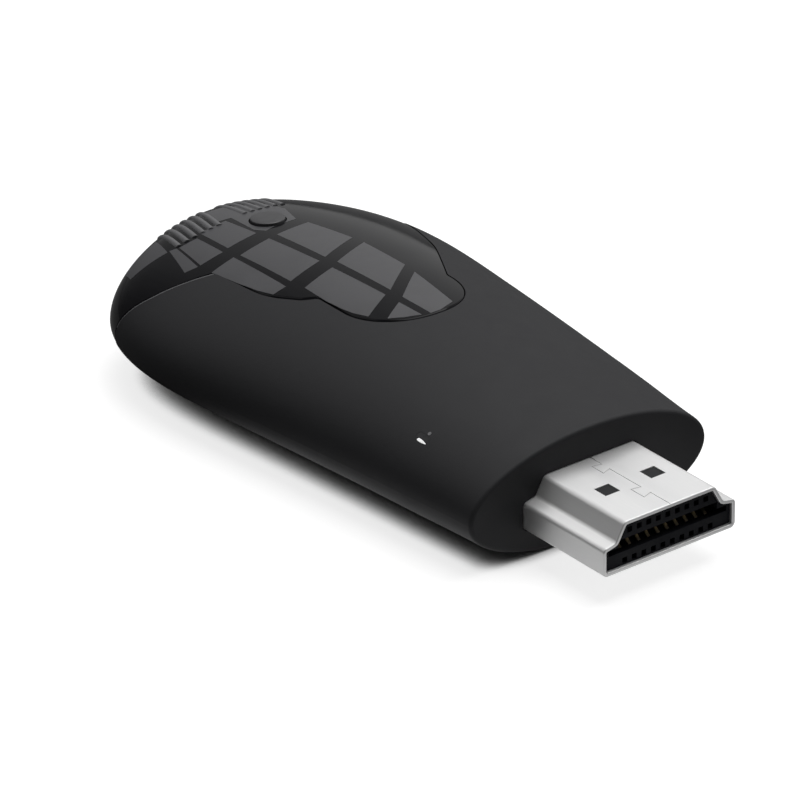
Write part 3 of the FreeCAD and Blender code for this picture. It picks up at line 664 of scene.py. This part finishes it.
def plumb(surface, x, y, from_below=False):
    """Where a plumb line at x, y meets a surface, and the surface's normal there."""
    side = -1 if from_below else 1
    hit, place, normal, _ = surface.ray_cast((x, y, side * PLUMB_HEIGHT), (0, 0, -side))
    return (place, normal) if hit else (None, None)


def spaced(points, spacing):
    """Even points along an open path."""
    path = [points[0]]
    for a, b in zip(points, points[1:]):
        steps = max(1, round((b - a).length / spacing))
        path += [a.lerp(b, k / steps) for k in range(1, steps + 1)]
    return path


def sweep(name, path, section, scale=lambda place: 1.0):
    """A closed bar along a path of places and normals: its section is outwards and up."""
    count = len(section)
    points = []
    for i, (place, normal) in enumerate(path):
        along = (path[min(i + 1, len(path) - 1)][0] - path[max(i - 1, 0)][0]).normalized()
        out = along.cross(normal).normalized()
        points += [place + (out * u + normal * v) * scale(place) for u, v in section]
    faces = [tuple(range(count)), tuple(range(len(points) - count, len(points)))]
    for i in range(len(path) - 1):
        for k in range(count):
            a, b = i * count + k, i * count + (k + 1) % count
            faces.append((a, b, b + count, a + count))
    return mesh_object(name, points, faces)


rim_flat = spaced(cap_outline, RIM_SPACING)
upper = [plumb(cap_surface, p.x, p.y) for p in rim_flat]
lower = [plumb(cap_surface, p.x, p.y, True) for p in rim_flat]
on_form = [i for i, (place, _) in enumerate(upper) if place and place.x > RIM_ENDS_AT]
first, last = on_form[0], on_form[-1]
left_down, right_down = [[lower[i] for i in run if lower[i][0].z > PARTING - PAST_PARTING]
                         for run in (range(first + PLACES_DOWN, first, -1),
                                     range(last, last - PLACES_DOWN, -1))]
rim = left_down + upper[first:last + 1] + right_down
turns = [math.radians(a) for a in (0, 18, 36, 54, 72)]
hollow = [(RIM_RADIUS * (math.cos(a) - 1), RIM_RADIUS * (math.sin(a) - 1)) for a in turns]
section = hollow + [(hollow[-1][0], CUTTER_ABOVE), (CUTTER_OUTSIDE, CUTTER_ABOVE),
                    (CUTTER_OUTSIDE, -RIM_RADIUS)]
print("rim of", len(rim), "places, first", rim[0][0][:], "last", rim[-1][0][:])
carve(gloss_cap, sweep("rim_cutter", rim, section,
                       lambda place: 1 - (1 - FAR_RIM) * to_the_right(place)))

# %% [markdown]
# The cap also opens for the button and for the power socket in the rear end.

# %% Openings of the cap
BUTTON = Vector((-45.2, 1.25))
BUTTON_RADIUS, BUTTON_GAP = 1.55, 0.1
BUTTON_CUT = (1.0, 12.0)
SOCKET_MIDDLE, SOCKET_GAP = 1.75, 0.15
SOCKET_CUT = (-60.0, -47.0)
SOCKET = ((2.85, -1.3, 0.4), (3.75, -0.3, 0.4), (3.75, 1.3, 0.4),
          (-3.75, 1.3, 0.4), (-3.75, -0.3, 0.4), (-2.85, -1.3, 0.4))


def circle(centre, radius, count=72):
    return [centre + Vector((math.cos(a), math.sin(a))) * radius
            for a in [2 * math.pi * i / count for i in range(count)]]


carve(gloss_cap, prism("button_hole", circle(BUTTON, BUTTON_RADIUS + BUTTON_GAP), *BUTTON_CUT))
socket_outline = [p + Vector((0, SOCKET_MIDDLE)) for p in turned(SOCKET, 15)]
carve(gloss_cap, prism("socket_hole", drawn_in(socket_outline, -SOCKET_GAP), *SOCKET_CUT, "x"))

# %% [markdown]
# ## Grip ribs
# Two groups of six ribs cross the rear edge, so that a thumb can pull the dongle out. Each rib
# starts with a round end on top and runs back over the edge, and the left group leans a little
# towards the middle. The tree stands one line of points for each rib, shoots rays from inside the
# cap at rising angles to find the surface, and sweeps a round bar along the hits. The bar lies
# mostly under the surface, so only a low back stands proud, and its radius swells from nothing
# at the front end.

# %% The tree of the ribs
RIBS = {"Surface": cap_surface, "Count": 6, "Pitch": 0.87, "First": -6.62, "Front": -47.5,
        "Lean": 0.25, "Lowest": 3.2, "Bar Radius": 0.4, "Rise": -0.27, "Steps": 30}
RIGHT_RIBS = {**RIBS, "First": 0.8, "Pitch": 0.82, "Front": -47.9, "Lean": 0.03}
RAY_LENGTH = 20.0
NEARLY_WHOLE = 1.02
tree, size = start_tree("grip_ribs", RIBS)
root = add(tree, "ShaderNodeCombineXYZ", {0: size["Front"], 1: size["First"], 2: size["Lowest"]})
pitch = add(tree, "ShaderNodeCombineXYZ", {1: size["Pitch"]})
roots = add(tree, "GeometryNodeMeshLine",
            {"Count": size["Count"], "Start Location": root, "Offset": pitch})
last_step = add(tree, "ShaderNodeMath", {0: size["Steps"], 1: 1.0}, operation="SUBTRACT")
one_step = add(tree, "ShaderNodeMath", {0: 1.0, 1: last_step}, operation="DIVIDE")
rise = add(tree, "ShaderNodeCombineXYZ", {2: one_step})
ladder = add(tree, "GeometryNodeMeshLine", {"Count": size["Steps"], "Offset": rise})
share = add(tree, "ShaderNodeSeparateXYZ", {0: add(tree, "GeometryNodeInputPosition")})
kept = add(tree, "GeometryNodeStoreNamedAttribute",
           {"Geometry": ladder, "Name": "share", "Value": share.outputs[2]},
           data_type="FLOAT", domain="POINT")
flat = add(tree, "GeometryNodeSetPosition", {"Geometry": kept, "Position": (0, 0, 0)})
ladders = add(tree, "GeometryNodeInstanceOnPoints", {"Points": roots, "Instance": flat})
lines = add(tree, "GeometryNodeRealizeInstances", {"Geometry": ladders})
saved = add(tree, "GeometryNodeInputNamedAttribute", {"Name": "share"}, data_type="FLOAT")
angle = add(tree, "ShaderNodeMath", {0: saved, 1: math.pi / 2}, operation="MULTIPLY")
back = add(tree, "ShaderNodeMath", {0: angle}, operation="SINE")
ahead = add(tree, "ShaderNodeMath", {0: back, 1: -1.0}, operation="MULTIPLY")
up = add(tree, "ShaderNodeMath", {0: angle}, operation="COSINE")
aside = add(tree, "ShaderNodeMath", {0: back, 1: size["Lean"]}, operation="MULTIPLY")
aim = add(tree, "ShaderNodeCombineXYZ", {0: ahead, 1: aside, 2: up})
laid = laid_on(tree, lines, size["Surface"], size["Rise"],
               {"Ray Direction": aim, "Ray Length": RAY_LENGTH})
curves = add(tree, "GeometryNodeMeshToCurve", {"Mesh": laid})
gone = add(tree, "GeometryNodeSplineParameter").outputs["Length"]
swell = add(tree, "ShaderNodeMapRange", {"Value": gone, "From Max": size["Bar Radius"]})
left_over = add(tree, "ShaderNodeMath", {0: 1.0, 1: swell}, operation="SUBTRACT")
squared = add(tree, "ShaderNodeMath", {0: left_over, 1: 2.0}, operation="POWER")
rest = add(tree, "ShaderNodeMath", {0: NEARLY_WHOLE, 1: squared}, operation="SUBTRACT")
rounded = add(tree, "ShaderNodeMath", {0: rest}, operation="SQRT")
thick = add(tree, "GeometryNodeSetCurveRadius", {"Curve": curves, "Radius": rounded})
ring = add(tree, "GeometryNodeCurvePrimitiveCircle",
           {"Resolution": 20, "Radius": size["Bar Radius"]})
bars = add(tree, "GeometryNodeCurveToMesh",
           {"Curve": thick, "Profile Curve": ring, "Fill Caps": True})
rib_tree = close_tree(tree, bars, rib_abs_painted_highlight)

left_ribs = grow("grip_ribs", rib_tree, RIBS)
right_ribs = grow("right_ribs", rib_tree, RIGHT_RIBS)
print("left ribs", bounds_mm(left_ribs), "right ribs", bounds_mm(right_ribs))
carve(left_ribs, right_ribs, "UNION")
# The ribs carry a painted highlight in their pale colour.
hand_over(left_ribs, rib_abs_painted_highlight, "housing", smooth_angle=60)
gloss_cap.name = "gloss_cap_moulding"
hand_over(gloss_cap, polished_abs, "housing", ["gloss_cap"])

# %% [markdown]
# ## Painted reflection panes
# A plain check of grey panes is painted on the cap as the reflection of a window, with black gaps
# that fan out towards the front. The panes follow the curved surface, so the tree takes flat panes,
# divides them, and drops their points on the cap by rays from above. Solidify gives the film its
# thickness.

# %% Lay out the panes in mm
PANES = (
    ((-41.27, -5.36), (-40.90, -7.98), (-38.99, -7.87), (-37.16, -7.75), (-35.09, -7.50),
     (-33.39, -7.07), (-33.46, -5.66)),
    ((-41.72, -1.23), (-41.07, -4.80), (-33.80, -4.89), (-34.86, -1.02)),
    ((-42.45, 3.55), (-41.89, -0.26), (-35.16, -0.19), (-37.22, 4.32)),
    ((-47.81, -1.34), (-47.68, -4.25), (-43.06, -4.62), (-43.47, -1.26)),
    ((-47.07, -4.96), (-47.16, -6.80), (-42.77, -7.76), (-42.85, -5.31)),
    ((-47.31, -6.98), (-47.64, -7.52), (-43.17, -9.16), (-42.79, -8.02)),
    ((-50.90, -6.60), (-47.61, -7.72), (-48.23, -11.26), (-49.90, -10.60), (-50.80, -9.20)),
    ((-35.80, 4.46), (-33.69, -0.03), (-26.47, 0.08), (-29.94, 4.33)),
    ((-28.29, 4.08), (-24.85, 0.08), (-21.15, 0.20), (-21.16, 1.26), (-21.88, 3.10)),
    ((-33.10, -1.02), (-31.98, -4.79), (-28.86, -4.92), (-26.99, -4.79), (-25.63, -4.58),
     (-24.22, -4.02), (-26.05, -0.78)),
    ((-24.29, -0.73), (-22.81, -3.10), (-22.00, -1.98), (-21.38, -0.58)),
    ((-51.20, -1.06), (-50.74, 0.90), (-50.30, 1.00), (-47.99, -0.63), (-48.31, -2.33)),
    ((-47.99, -0.63), (-44.20, -0.98), (-43.22, -0.42), (-43.51, 0.55), (-43.77, 3.22),
     (-46.65, 4.20), (-48.60, 4.00), (-50.30, 1.00)),
)
PANE_LAYING = {"Surface": cap_surface, "Divisions": 4, "Proud": 0.012}
FILM_THICKNESS, FILM_GAP = 0.04, 0.12
tree, size = start_tree("printed_panes", PANE_LAYING, takes_mesh=True)
fine = add(tree, "GeometryNodeSubdivideMesh", {"Mesh": size["Mesh"], "Level": size["Divisions"]})
above = add(tree, "ShaderNodeVectorMath",
            {0: add(tree, "GeometryNodeInputPosition"), 1: (0, 0, WELL_ABOVE)})
laid = laid_on(tree, fine, size["Surface"], size["Proud"],
               {"Source Position": above, "Ray Direction": (0, 0, -1),
                "Ray Length": 2 * WELL_ABOVE})
pane_tree = close_tree(tree, laid, painted_reflection_film)

corners, outlines = [], []
for pane in PANES:
    outlines.append(tuple(range(len(corners), len(corners) + len(pane))))
    corners += [(x, y, 0.0) for x, y in pane]
panes = grow("printed_panes", pane_tree, PANE_LAYING, mesh_object("printed_panes", corners, outlines))
modify(panes, "SOLIDIFY", thickness=FILM_THICKNESS, offset=-1.0)
carve(panes, prism("button_clearing", circle(BUTTON, BUTTON_RADIUS + FILM_GAP), *BUTTON_CUT))
print("panes", bounds_mm(panes))
# The panes are a painted reflection, laid on the cap as a thin film.
hand_over(panes, painted_reflection_film, "housing")
bpy.data.objects.remove(cap_surface)

# %% [markdown]
# ## The edge of the recess and the status window
# Where the matte housing ends at the cap's rear corner, a thin light line is painted as a
# highlight:
# a slim pale bead along that edge draws it. Near the front on the left, a drop-shaped window
# shows the light pipe's glow as a painted glow, and a small pale dot lies beside it. All three
# lie on the form, found by plumb lines.

# %% Lay the painted highlight edge, the window and the dot
EDGE_RADIUS, EDGE_SUNK = 0.08, 0.05
EDGE_AHEAD, EDGE_ASIDE, EDGE_LOWEST = -40.4, -7.9, 0.6
WINDOW = ((-9.22, -10.68), (-9.17, -10.72), (-9.02, -10.74), (-8.65, -10.71), (-8.2, -10.63),
          (-8.18, -10.58), (-8.5, -10.53), (-8.83, -10.50), (-9.08, -10.51), (-9.19, -10.58))
WINDOW_PROUD, WINDOW_THICKNESS = 0.02, 0.15
DOT = Vector((-8.66, -9.8))
DOT_RADIUS = 0.15
housing_surface = form("housing_surface", 0.0)


def inlay(name, outline):
    """A thin plate let into the form: its top follows the surface and stands a hair proud."""
    tops = [plumb(housing_surface, *p)[0] + Vector((0, 0, WINDOW_PROUD)) for p in outline]
    return between(name, tops, [top - Vector((0, 0, WINDOW_THICKNESS)) for top in tops])


edge = [plumb(housing_surface, *p) for p in spaced(recess_outline, RIM_SPACING)
        if p.y < EDGE_ASIDE and p.x < EDGE_AHEAD]
edge = [(place - normal * EDGE_SUNK, normal) for place, normal in edge
        if place and place.z > EDGE_LOWEST]
bead = sweep("burnished_edge", edge, circle(Vector((0, 0)), EDGE_RADIUS, 8))
print("painted highlight edge", bounds_mm(bead))
# The bead is a painted highlight: a thin light line along the edge.
hand_over(bead, pale_abs_highlight_and_dot, "housing", smooth_angle=60)
# The window's glow is painted on its lens.
hand_over(inlay("status_window", WINDOW), lens_painted_glow, "housing")
hand_over(inlay("status_dot", circle(DOT, DOT_RADIUS, 16)), pale_abs_highlight_and_dot, "housing")
bpy.data.objects.remove(housing_surface)

# %% [markdown]
# ## The mode button
# The button is a small moulding whose top follows the cap, standing proud by a quarter of a
# millimetre. Its rim is rounded, and catches the light as a thin bright ring. A copy of the
# frame's solid has the right inside, so only its top and its edges are worked.

# %% Round the button's edges
BUTTON_WORN_DOWN = 0.12
BUTTON_TOP_ABOVE = 5.5
button = copy_of("mode_button_moulding", "mode_button")
for corner in button.data.vertices:
    if corner.co.z > BUTTON_TOP_ABOVE:
        corner.co.z -= BUTTON_WORN_DOWN
soften(button, 0.1, segments=3, angle=50)
print("button", bounds_mm(button))
hand_over(button, satin_button, "mode_button", ["mode_button"])

# %% [markdown]
# ## The plug's shell
# The shell is pressed from sheet and rolled up, and its two ends meet on top in a seam with
# interlocking tabs. The seam is cut into a copy of the frame's shell as a fine groove along a
# dovetailed line, and the sheared edges of the sheet and of its windows are broken a little.
# Seen from above, the two windows are nearly filled by pads of the moulding under the sheet.

# %% Cut the windows and the seam, and break the edges
PLUG_TOP, PLUG_ABOVE, SHEET = 2.225, 3.0, 0.35
SEAM_WIDTH, SEAM_DEPTH = 0.075, 0.06
SEAM = ((-0.5, 0.05), (1.45, 0.05), (1.25, -0.82), (2.75, -0.82), (2.45, 0.05), (6.45, 0.05),
        (6.25, -0.85), (7.95, -0.85), (7.65, 0.05), (10.4, 0.05))
SHARPEST_BEND = 0.3
WINDOW_CUT = 0.1
PADS = [Vector((5.1, y)) for y in (-2.4, 2.4)]
PAD_HALF, PAD_GAP, PAD_SUNK, PAD_ROOT = 0.76, 0.015, 0.08, 0.07


def square(centre, half):
    return [centre + Vector((a * half, b * half)) for a, b in ((-1, -1), (1, -1), (1, 1), (-1, 1))]


def ribbon(path, width):
    """The outline of a band of even width along an open path."""
    left, right = [], []
    for i, place in enumerate(path):
        before = (place - path[max(i - 1, 0)]).normalized()
        after = (path[min(i + 1, len(path) - 1)] - place).normalized()
        side = (before + after).normalized().orthogonal()
        reach = width / 2 / max(side.dot((before or after).orthogonal()), SHARPEST_BEND)
        left.append(place + side * reach)
        right.append(place - side * reach)
    return left + right[::-1]


shell = copy_of("video_plug_sheet", "video_plug_shell")
for spot in PADS:
    carve(shell, prism("window", square(spot, PAD_HALF), PLUG_TOP - SHEET - WINDOW_CUT,
                       PLUG_ABOVE))
soften(shell, 0.05, angle=50)
carve(shell, prism("seam", ribbon([Vector(p) for p in SEAM], SEAM_WIDTH), PLUG_TOP - SEAM_DEPTH,
                   PLUG_ABOVE))
flatten_shading(shell)
print("plug shell", bounds_mm(shell))
hand_over(shell, nickel_plate, "housing", ["video_plug_shell"], smooth_angle=None)
pads = [prism("window_pads", square(spot, PAD_HALF - PAD_GAP), PLUG_TOP - SHEET - PAD_ROOT,
              PLUG_TOP - PAD_SUNK) for spot in PADS]
hand_over(carve(*pads, "UNION"), grey_nylon, "housing")

# %% [markdown]
# ## The contacts in the plug
# Each contact is a thin strip of bronze, stamped and bowed, that springs against the other
# connector. Its side view is one bent path. The tree rounds the bends, gives the path the strip's
# section, and sets one strip on each point of a row.

# %% The tree of the contacts
STRIP_PATH = ((-8.4, 0.08), (2.6, 0.08), (5.0, -0.05), (8.2, -0.38), (8.75, -0.34), (9.3, 0.06))
STRIP = {"Count": 9, "Pitch": 1.0, "Width": 0.3, "Thickness": 0.1, "Bend": 0.25,
         "Turned Up": 1.0, "Level": 0.43}
LOWER_STRIP = {**STRIP, "Count": 10, "Turned Up": -1.0, "Level": -0.53}
tree, size = start_tree("bowed_contacts", STRIP, takes_mesh=True)
path = add(tree, "GeometryNodeMeshToCurve", {"Mesh": size["Mesh"]})
bent = add(tree, "GeometryNodeFilletCurve",
           {"Curve": path, "Radius": size["Bend"], "Count": 3}, mode="POLY")
section = add(tree, "GeometryNodeCurvePrimitiveQuadrilateral",
              {"Width": size["Width"], "Height": size["Thickness"]})
strip = add(tree, "GeometryNodeCurveToMesh",
            {"Curve": bent, "Profile Curve": section, "Fill Caps": True})
mirror = add(tree, "ShaderNodeCombineXYZ", {0: 1.0, 1: 1.0, 2: size["Turned Up"]})
facing = add(tree, "GeometryNodeTransform", {"Geometry": strip, "Scale": mirror})
gaps = add(tree, "ShaderNodeMath", {0: size["Count"], 1: 1.0}, operation="SUBTRACT")
half_row = add(tree, "ShaderNodeMath", {0: gaps, 1: -0.5}, operation="MULTIPLY")
first_y = add(tree, "ShaderNodeMath", {0: half_row, 1: size["Pitch"]}, operation="MULTIPLY")
first_place = add(tree, "ShaderNodeCombineXYZ", {1: first_y, 2: size["Level"]})
step_aside = add(tree, "ShaderNodeCombineXYZ", {1: size["Pitch"]})
row = add(tree, "GeometryNodeMeshLine",
          {"Count": size["Count"], "Start Location": first_place, "Offset": step_aside})
strips = add(tree, "GeometryNodeInstanceOnPoints", {"Points": row, "Instance": facing})
strip_tree = close_tree(tree, strips, gold_flash)

bends = [(x, 0.0, z) for x, z in STRIP_PATH]
runs = [(i, i + 1) for i in range(len(bends) - 1)]
for side, sizes in (("upper", STRIP), ("lower", LOWER_STRIP)):
    name = side + "_contact_strips"
    strips = grow(name, strip_tree, sizes, mesh_object(name, bends, [], runs))
    print(name, bounds_mm(strips))
    hand_over(strips, gold_flash, "housing", ["video_plug_" + side + "_contacts"])

# %% [markdown]
# ## Small electronic parts
# Capacitors, resistors and coils are blocks with tinned ends, soldered in rows. The rows' places
# are worked out once, in plain numbers, and one tree sets a block of a given size on each place.
# The sharp edges are broken afterwards, as pressing and firing leave them.

# %% The tree of blocks and the rows
BLOCKS = {"Size": (1.0, 1.0, 1.0)}
tree, size = start_tree("soldered_blocks", BLOCKS, takes_mesh=True)
block = add(tree, "GeometryNodeMeshCube", {"Size": size["Size"]})
blocks = add(tree, "GeometryNodeInstanceOnPoints", {"Points": size["Mesh"], "Instance": block})
block_tree = close_tree(tree, blocks, tinned_steel)


def row_of(middle, count, pitch):
    """Evenly spaced places about a middle."""
    return [middle + (i - (count - 1) / 2) * pitch for i in range(count)]


def set_blocks(name, places, size, edge, material, nodes=()):
    """Blocks of one size on all the places, with their edges broken."""
    blocks = grow(name, block_tree, {"Size": size}, mesh_object(name, places, []))
    hand_over(soften(blocks, edge), material, "housing", nodes)


# %% [markdown]
# The two rows of capacitors lie beside the processor, and the resistors stand across the board
# behind the plug. Coils and regulators share a row across the board, and the protection chips
# hang under it.

# %% Set the blocks
BOARD_TOP, BOARD_BOTTOM = 0.45, -0.55
CAPACITORS = [(x, y) for x in row_of(-25.0, 8, 1.5) for y in (-6.9, 6.9)]
RESISTOR_X, COIL_X, PROTECTION_X = -9.5, -36.0, -10.6
RESISTORS = row_of(0.0, 9, 1.0)
ENDS = (-0.4, 0.4)
set_blocks("capacitor_bodies", [(x, y, 0.69) for x, y in CAPACITORS], (0.46, 0.64, 0.46), 0.03,
           fired_ceramic, ["capacitors"])
set_blocks("capacitor_ends", [(x, y + s, 0.7) for x, y in CAPACITORS for s in ENDS],
           (0.5, 0.2, 0.5), 0.05, tinned_steel)
set_blocks("resistor_bodies", [(RESISTOR_X, y, 0.62) for y in RESISTORS], (0.64, 0.48, 0.3), 0.02,
           glazed_resistor, ["resistors"])
set_blocks("resistor_ends", [(RESISTOR_X + s, y, 0.625) for y in RESISTORS for s in ENDS],
           (0.2, 0.5, 0.35), 0.04, tinned_steel)
set_blocks("coil_ends", [(COIL_X + s, y, 0.85) for y in (-4.6, 4.6) for s in (-1.42, 1.42)],
           (0.2, 1.6, 0.8), 0.04, tinned_steel)
set_blocks("regulator_legs", [(COIL_X + s, y, BOARD_TOP + 0.09) for r in (-1.6, 1.6)
                              for y in row_of(r, 3, 0.9) for s in (-1.65, 1.65)],
           (0.5, 0.38, 0.16), 0.03, tinned_steel)
set_blocks("protection_chip_legs",
           [(PROTECTION_X + s, y, BOARD_BOTTOM - 0.07) for r in (-3.0, 0.0, 3.0)
            for y in row_of(r, 3, 0.4) for s in (-1.3, 1.3)],
           (0.4, 0.2, 0.12), 0.02, tinned_steel)
set_blocks("power_socket_pin_strips", [(-50.2, y, 2.04) for y in row_of(0.0, 5, 0.65)],
           (2.5, 0.3, 0.12), 0.03, gold_flash, ["power_socket_pins"])
set_blocks("antenna_print", [(x, -8.38, 1.455) for x in row_of(-43.0, 8, 0.8)],
           (0.28, 1.5, 0.03), 0.01, tinned_steel)

# %% [markdown]
# A chip is moulded epoxy, with slightly rounded edges and a round dimple that marks its first
# contact. The dimple is cut into a copy of the frame's block, above or below the board.

# %% Chips with their dimples
DIMPLE_RADIUS, DIMPLE_DEPTH, DIMPLE_INSET, DIMPLE_CUT = 0.4, 0.06, 1.1, 0.5
CHIPS = {"processor": 1, "memory_chip": 1, "flash_chip": -1, "radio_chip": -1}
for node, side in CHIPS.items():
    chip = soften(copy_of(node + "_moulding", node), 0.1)
    box = bounds_mm(chip)
    face = box[5] if side > 0 else box[2]
    levels = sorted((face - side * DIMPLE_DEPTH, face + side * DIMPLE_CUT))
    spot = Vector((box[0] + DIMPLE_INSET, box[1] + DIMPLE_INSET))
    carve(chip, prism("dimple", circle(spot, DIMPLE_RADIUS, 32), *levels))
    hand_over(chip, chip_epoxy, "housing", [node])

# %% [markdown]
# The other pieces inside have the right shape in the frame already, but their edges are still
# razor sharp. A copy of each gets the edge radius that its making leaves: pressed cans and
# sheet have round bends, turned screws small chamfers, moulded blocks a hint of rounding.

# %% Break the edges of the remaining pieces
EDGES = {
    "board_screws": (0.05, "screw_steel"), "regulators": (0.08, "chip_resin"),
    "protection_chips": (0.05, "chip_resin"), "inductors": (0.1, "ferrite_body"),
    "crystals": (0.14, "tinned_can"), "radio_shield": (0.06, "tinned_can"),
    "heat_spreader": (0.1, "aluminium_plate"), "antenna": (0.06, "ceramic_body"),
    "switch_base": (0.05, "insulator"), "switch_cover": (0.04, "spring_steel"),
    "switch_terminals": (0.03, "tinned_can"), "thermal_pad": (0.12, "soft_pad"),
    "status_led": (0.06, "light_body"), "power_socket_shell": (0.05, "plated_shell"),
    "power_socket_tongue": (0.05, "insulator"),
}
for node, (edge, slot) in EDGES.items():
    piece = soften(copy_of(node + "_softened", node), edge, angle=50)
    hand_over(piece, finish_of[node], "housing", [node])

# %% [markdown]
# ## Floor, light and camera
# The dongle lies on a white table in a soft studio. The table and the air behind it read as
# white to the camera, while the light on the object stays at a plain level. In reflections only
# the table round the plug is white, so that the metal is bright and the gloss black stays deep.
# The shade is narrow and dark only where the housing comes near the table. From below, the
# table lets the eye through, so that the underside can be looked at. The shade's and the
# mirror's distances are metres.

# %% Floor
FLOOR_LEVEL, FLOOR_HALF = -4.86, 3000.0
CONTACT_SHADE, SHADE_FROM, SHADE_TO = 0.0026, 0.33, 0.79
SHADE_LIFT, LIFT_FROM, LIFT_TO = 0.78, 0.08, 0.25
MIRROR_FROM, MIRROR_TO = 0.018, 0.04
PLUG_SIDE = (0.0, -0.012, FLOOR_LEVEL / 1000)
floor = mesh_object("floor", [(*p, FLOOR_LEVEL) for p in square(Vector((0, 0)), FLOOR_HALF)],
                    [(0, 1, 2, 3)])
floor.data.transform(Matrix.Scale(0.001, 4))
if floor.data.polygons[0].normal.z < 0:
    floor.data.flip_normals()
table_white, tree, place = start_finish("white_table_paper")
away = add(tree, "ShaderNodeVectorMath", {0: place, 1: PLUG_SIDE},
           operation="DISTANCE").outputs["Value"]
near_plug = add(tree, "ShaderNodeMapRange",
                {"Value": away, "From Min": MIRROR_FROM, "From Max": MIRROR_TO, "To Min": 1.0,
                 "To Max": 0.0},
                interpolation_type="SMOOTHSTEP")
path = add(tree, "ShaderNodeLightPath").outputs
seen = add(tree, "ShaderNodeMath",
           {0: path["Is Glossy Ray"], 1: near_plug, 2: path["Is Camera Ray"]},
           operation="MULTIPLY_ADD", use_clamp=True)
fibre = add(tree, "ShaderNodeTexNoise", {"Vector": place, "Scale": 900.0})
paper = add(tree, "ShaderNodeMix", {0: fibre, 6: linear("9e9e9e"), 7: linear("a4a4a4")},
            data_type="RGBA")
hidden = add(tree, "ShaderNodeAmbientOcclusion", {"Distance": CONTACT_SHADE}, samples=12)
shade = add(tree, "ShaderNodeMix", {0: seen, 6: linear("666666"), 7: paper.outputs[2]},
            data_type="RGBA")
plain = add(tree, "ShaderNodeBsdfDiffuse", {"Color": shade.outputs[2]})
open_sky = add(tree, "ShaderNodeMapRange",
               {"Value": hidden.outputs["AO"], "From Min": SHADE_FROM, "From Max": SHADE_TO},
               interpolation_type="SMOOTHSTEP")
far_off = add(tree, "ShaderNodeMapRange",
              {"Value": away, "From Min": LIFT_FROM, "From Max": LIFT_TO, "To Min": SHADE_LIFT,
               "To Max": 1.0})
lifted = add(tree, "ShaderNodeMath", {0: open_sky, 1: far_off}, operation="MULTIPLY")
glow = add(tree, "ShaderNodeEmission", {"Color": linear("ffffff"), "Strength": lifted})
both = add(tree, "ShaderNodeAddShader", {0: plain, 1: glow})
shown = add(tree, "ShaderNodeMixShader", {0: seen, 1: plain, 2: both})
underside = add(tree, "ShaderNodeNewGeometry").outputs["Backfacing"]
one_way = add(tree, "ShaderNodeMixShader",
              {0: underside, 1: shown, 2: add(tree, "ShaderNodeBsdfTransparent")})
add(tree, "ShaderNodeOutputMaterial", {"Surface": one_way})
floor.data.materials.append(table_white)

# %% [markdown]
# The room is dark on the left and behind the camera, and grows bright to the right, like a
# studio with one large soft light. The world gives that as a gradient by direction.

# %% World
BRIGHT_SIDE = (-0.05, 0.998, 0.0)
world = bpy.data.worlds.new("soft_studio")
bpy.context.scene.world = world
world.use_nodes = True
tree = world.node_tree
tree.nodes.clear()
facing = add(tree, "ShaderNodeVectorMath",
             {0: add(tree, "ShaderNodeTexCoord").outputs["Generated"], 1: BRIGHT_SIDE},
             operation="DOT_PRODUCT").outputs["Value"]
bright = add(tree, "ShaderNodeMapRange",
             {"Value": facing, "From Min": -0.1, "From Max": 0.85, "To Min": 0.06, "To Max": 0.62},
             interpolation_type="SMOOTHSTEP")
room = add(tree, "ShaderNodeBackground", {"Color": linear("ffffff"), "Strength": bright})
sky = add(tree, "ShaderNodeBackground", {"Color": linear("ffffff"), "Strength": 1.0})
path = add(tree, "ShaderNodeLightPath").outputs
mixed = add(tree, "ShaderNodeMixShader", {0: path["Is Camera Ray"], 1: room, 2: sky})
add(tree, "ShaderNodeOutputWorld", {"Surface": mixed})

# %% [markdown]
# A softbox hangs overhead, and a weak white board on the left lightens the plug's slopes.

# %% Lamps
def lamp(name, place, target, size, power):
    """A square soft lamp."""
    light = bpy.data.lights.new(name, "AREA")
    light.shape = "RECTANGLE"
    light.size = light.size_y = size
    light.energy = power
    holder = bpy.data.objects.new(name, light)
    bpy.context.scene.collection.objects.link(holder)
    holder.location = place
    holder.rotation_euler = (Vector(target) - Vector(place)).to_track_quat("-Z", "Y").to_euler()


lamp("overhead_softbox", (-0.05, 0.14, 0.43), (-0.02, 0, 0), 0.46, 2.33)
lamp("left_reflector", (-0.23, -0.15, 0.28), (0, 0, 0), 0.3, 0.24)

# %% [markdown]
# The photograph was taken with a long lens from the front left, so lines that are parallel on
# the object stay nearly parallel. The camera stands 545 mm from the plug's root. It first looks
# straight at that point, and is then turned until the point lies right of and below the middle
# of the picture, by these shares of the picture's width.

# %% Camera
AZIMUTH, ELEVATION, ROLL = math.radians(50.5), math.radians(28.38), math.radians(0.15)
DISTANCE = 0.5451
LENS, SENSOR = 300, 36
ORIGIN_RIGHT, ORIGIN_DOWN = 189.8 / 800, 81.85 / 800
back = Vector((math.sin(AZIMUTH) * math.cos(ELEVATION), -math.cos(AZIMUTH) * math.cos(ELEVATION),
               math.sin(ELEVATION)))
right = Vector((math.cos(AZIMUTH), math.sin(AZIMUTH), 0))
level = Matrix((right, back.cross(right), back)).transposed()
seen = Vector((ORIGIN_RIGHT * SENSOR, -ORIGIN_DOWN * SENSOR, -LENS))
turn = seen.rotation_difference(Vector((0, 0, -1))).to_matrix()
camera = bpy.data.objects.new("camera", bpy.data.cameras.new("camera"))
bpy.context.scene.collection.objects.link(camera)
camera.data.lens = LENS
camera.data.sensor_width = SENSOR
camera.data.clip_start = 0.01
camera.location = back * DISTANCE
camera.rotation_euler = (level @ Matrix.Rotation(ROLL, 3, "Z") @ turn).to_euler()
bpy.context.scene.camera = camera
bpy.context.scene.view_settings.view_transform = "Standard"
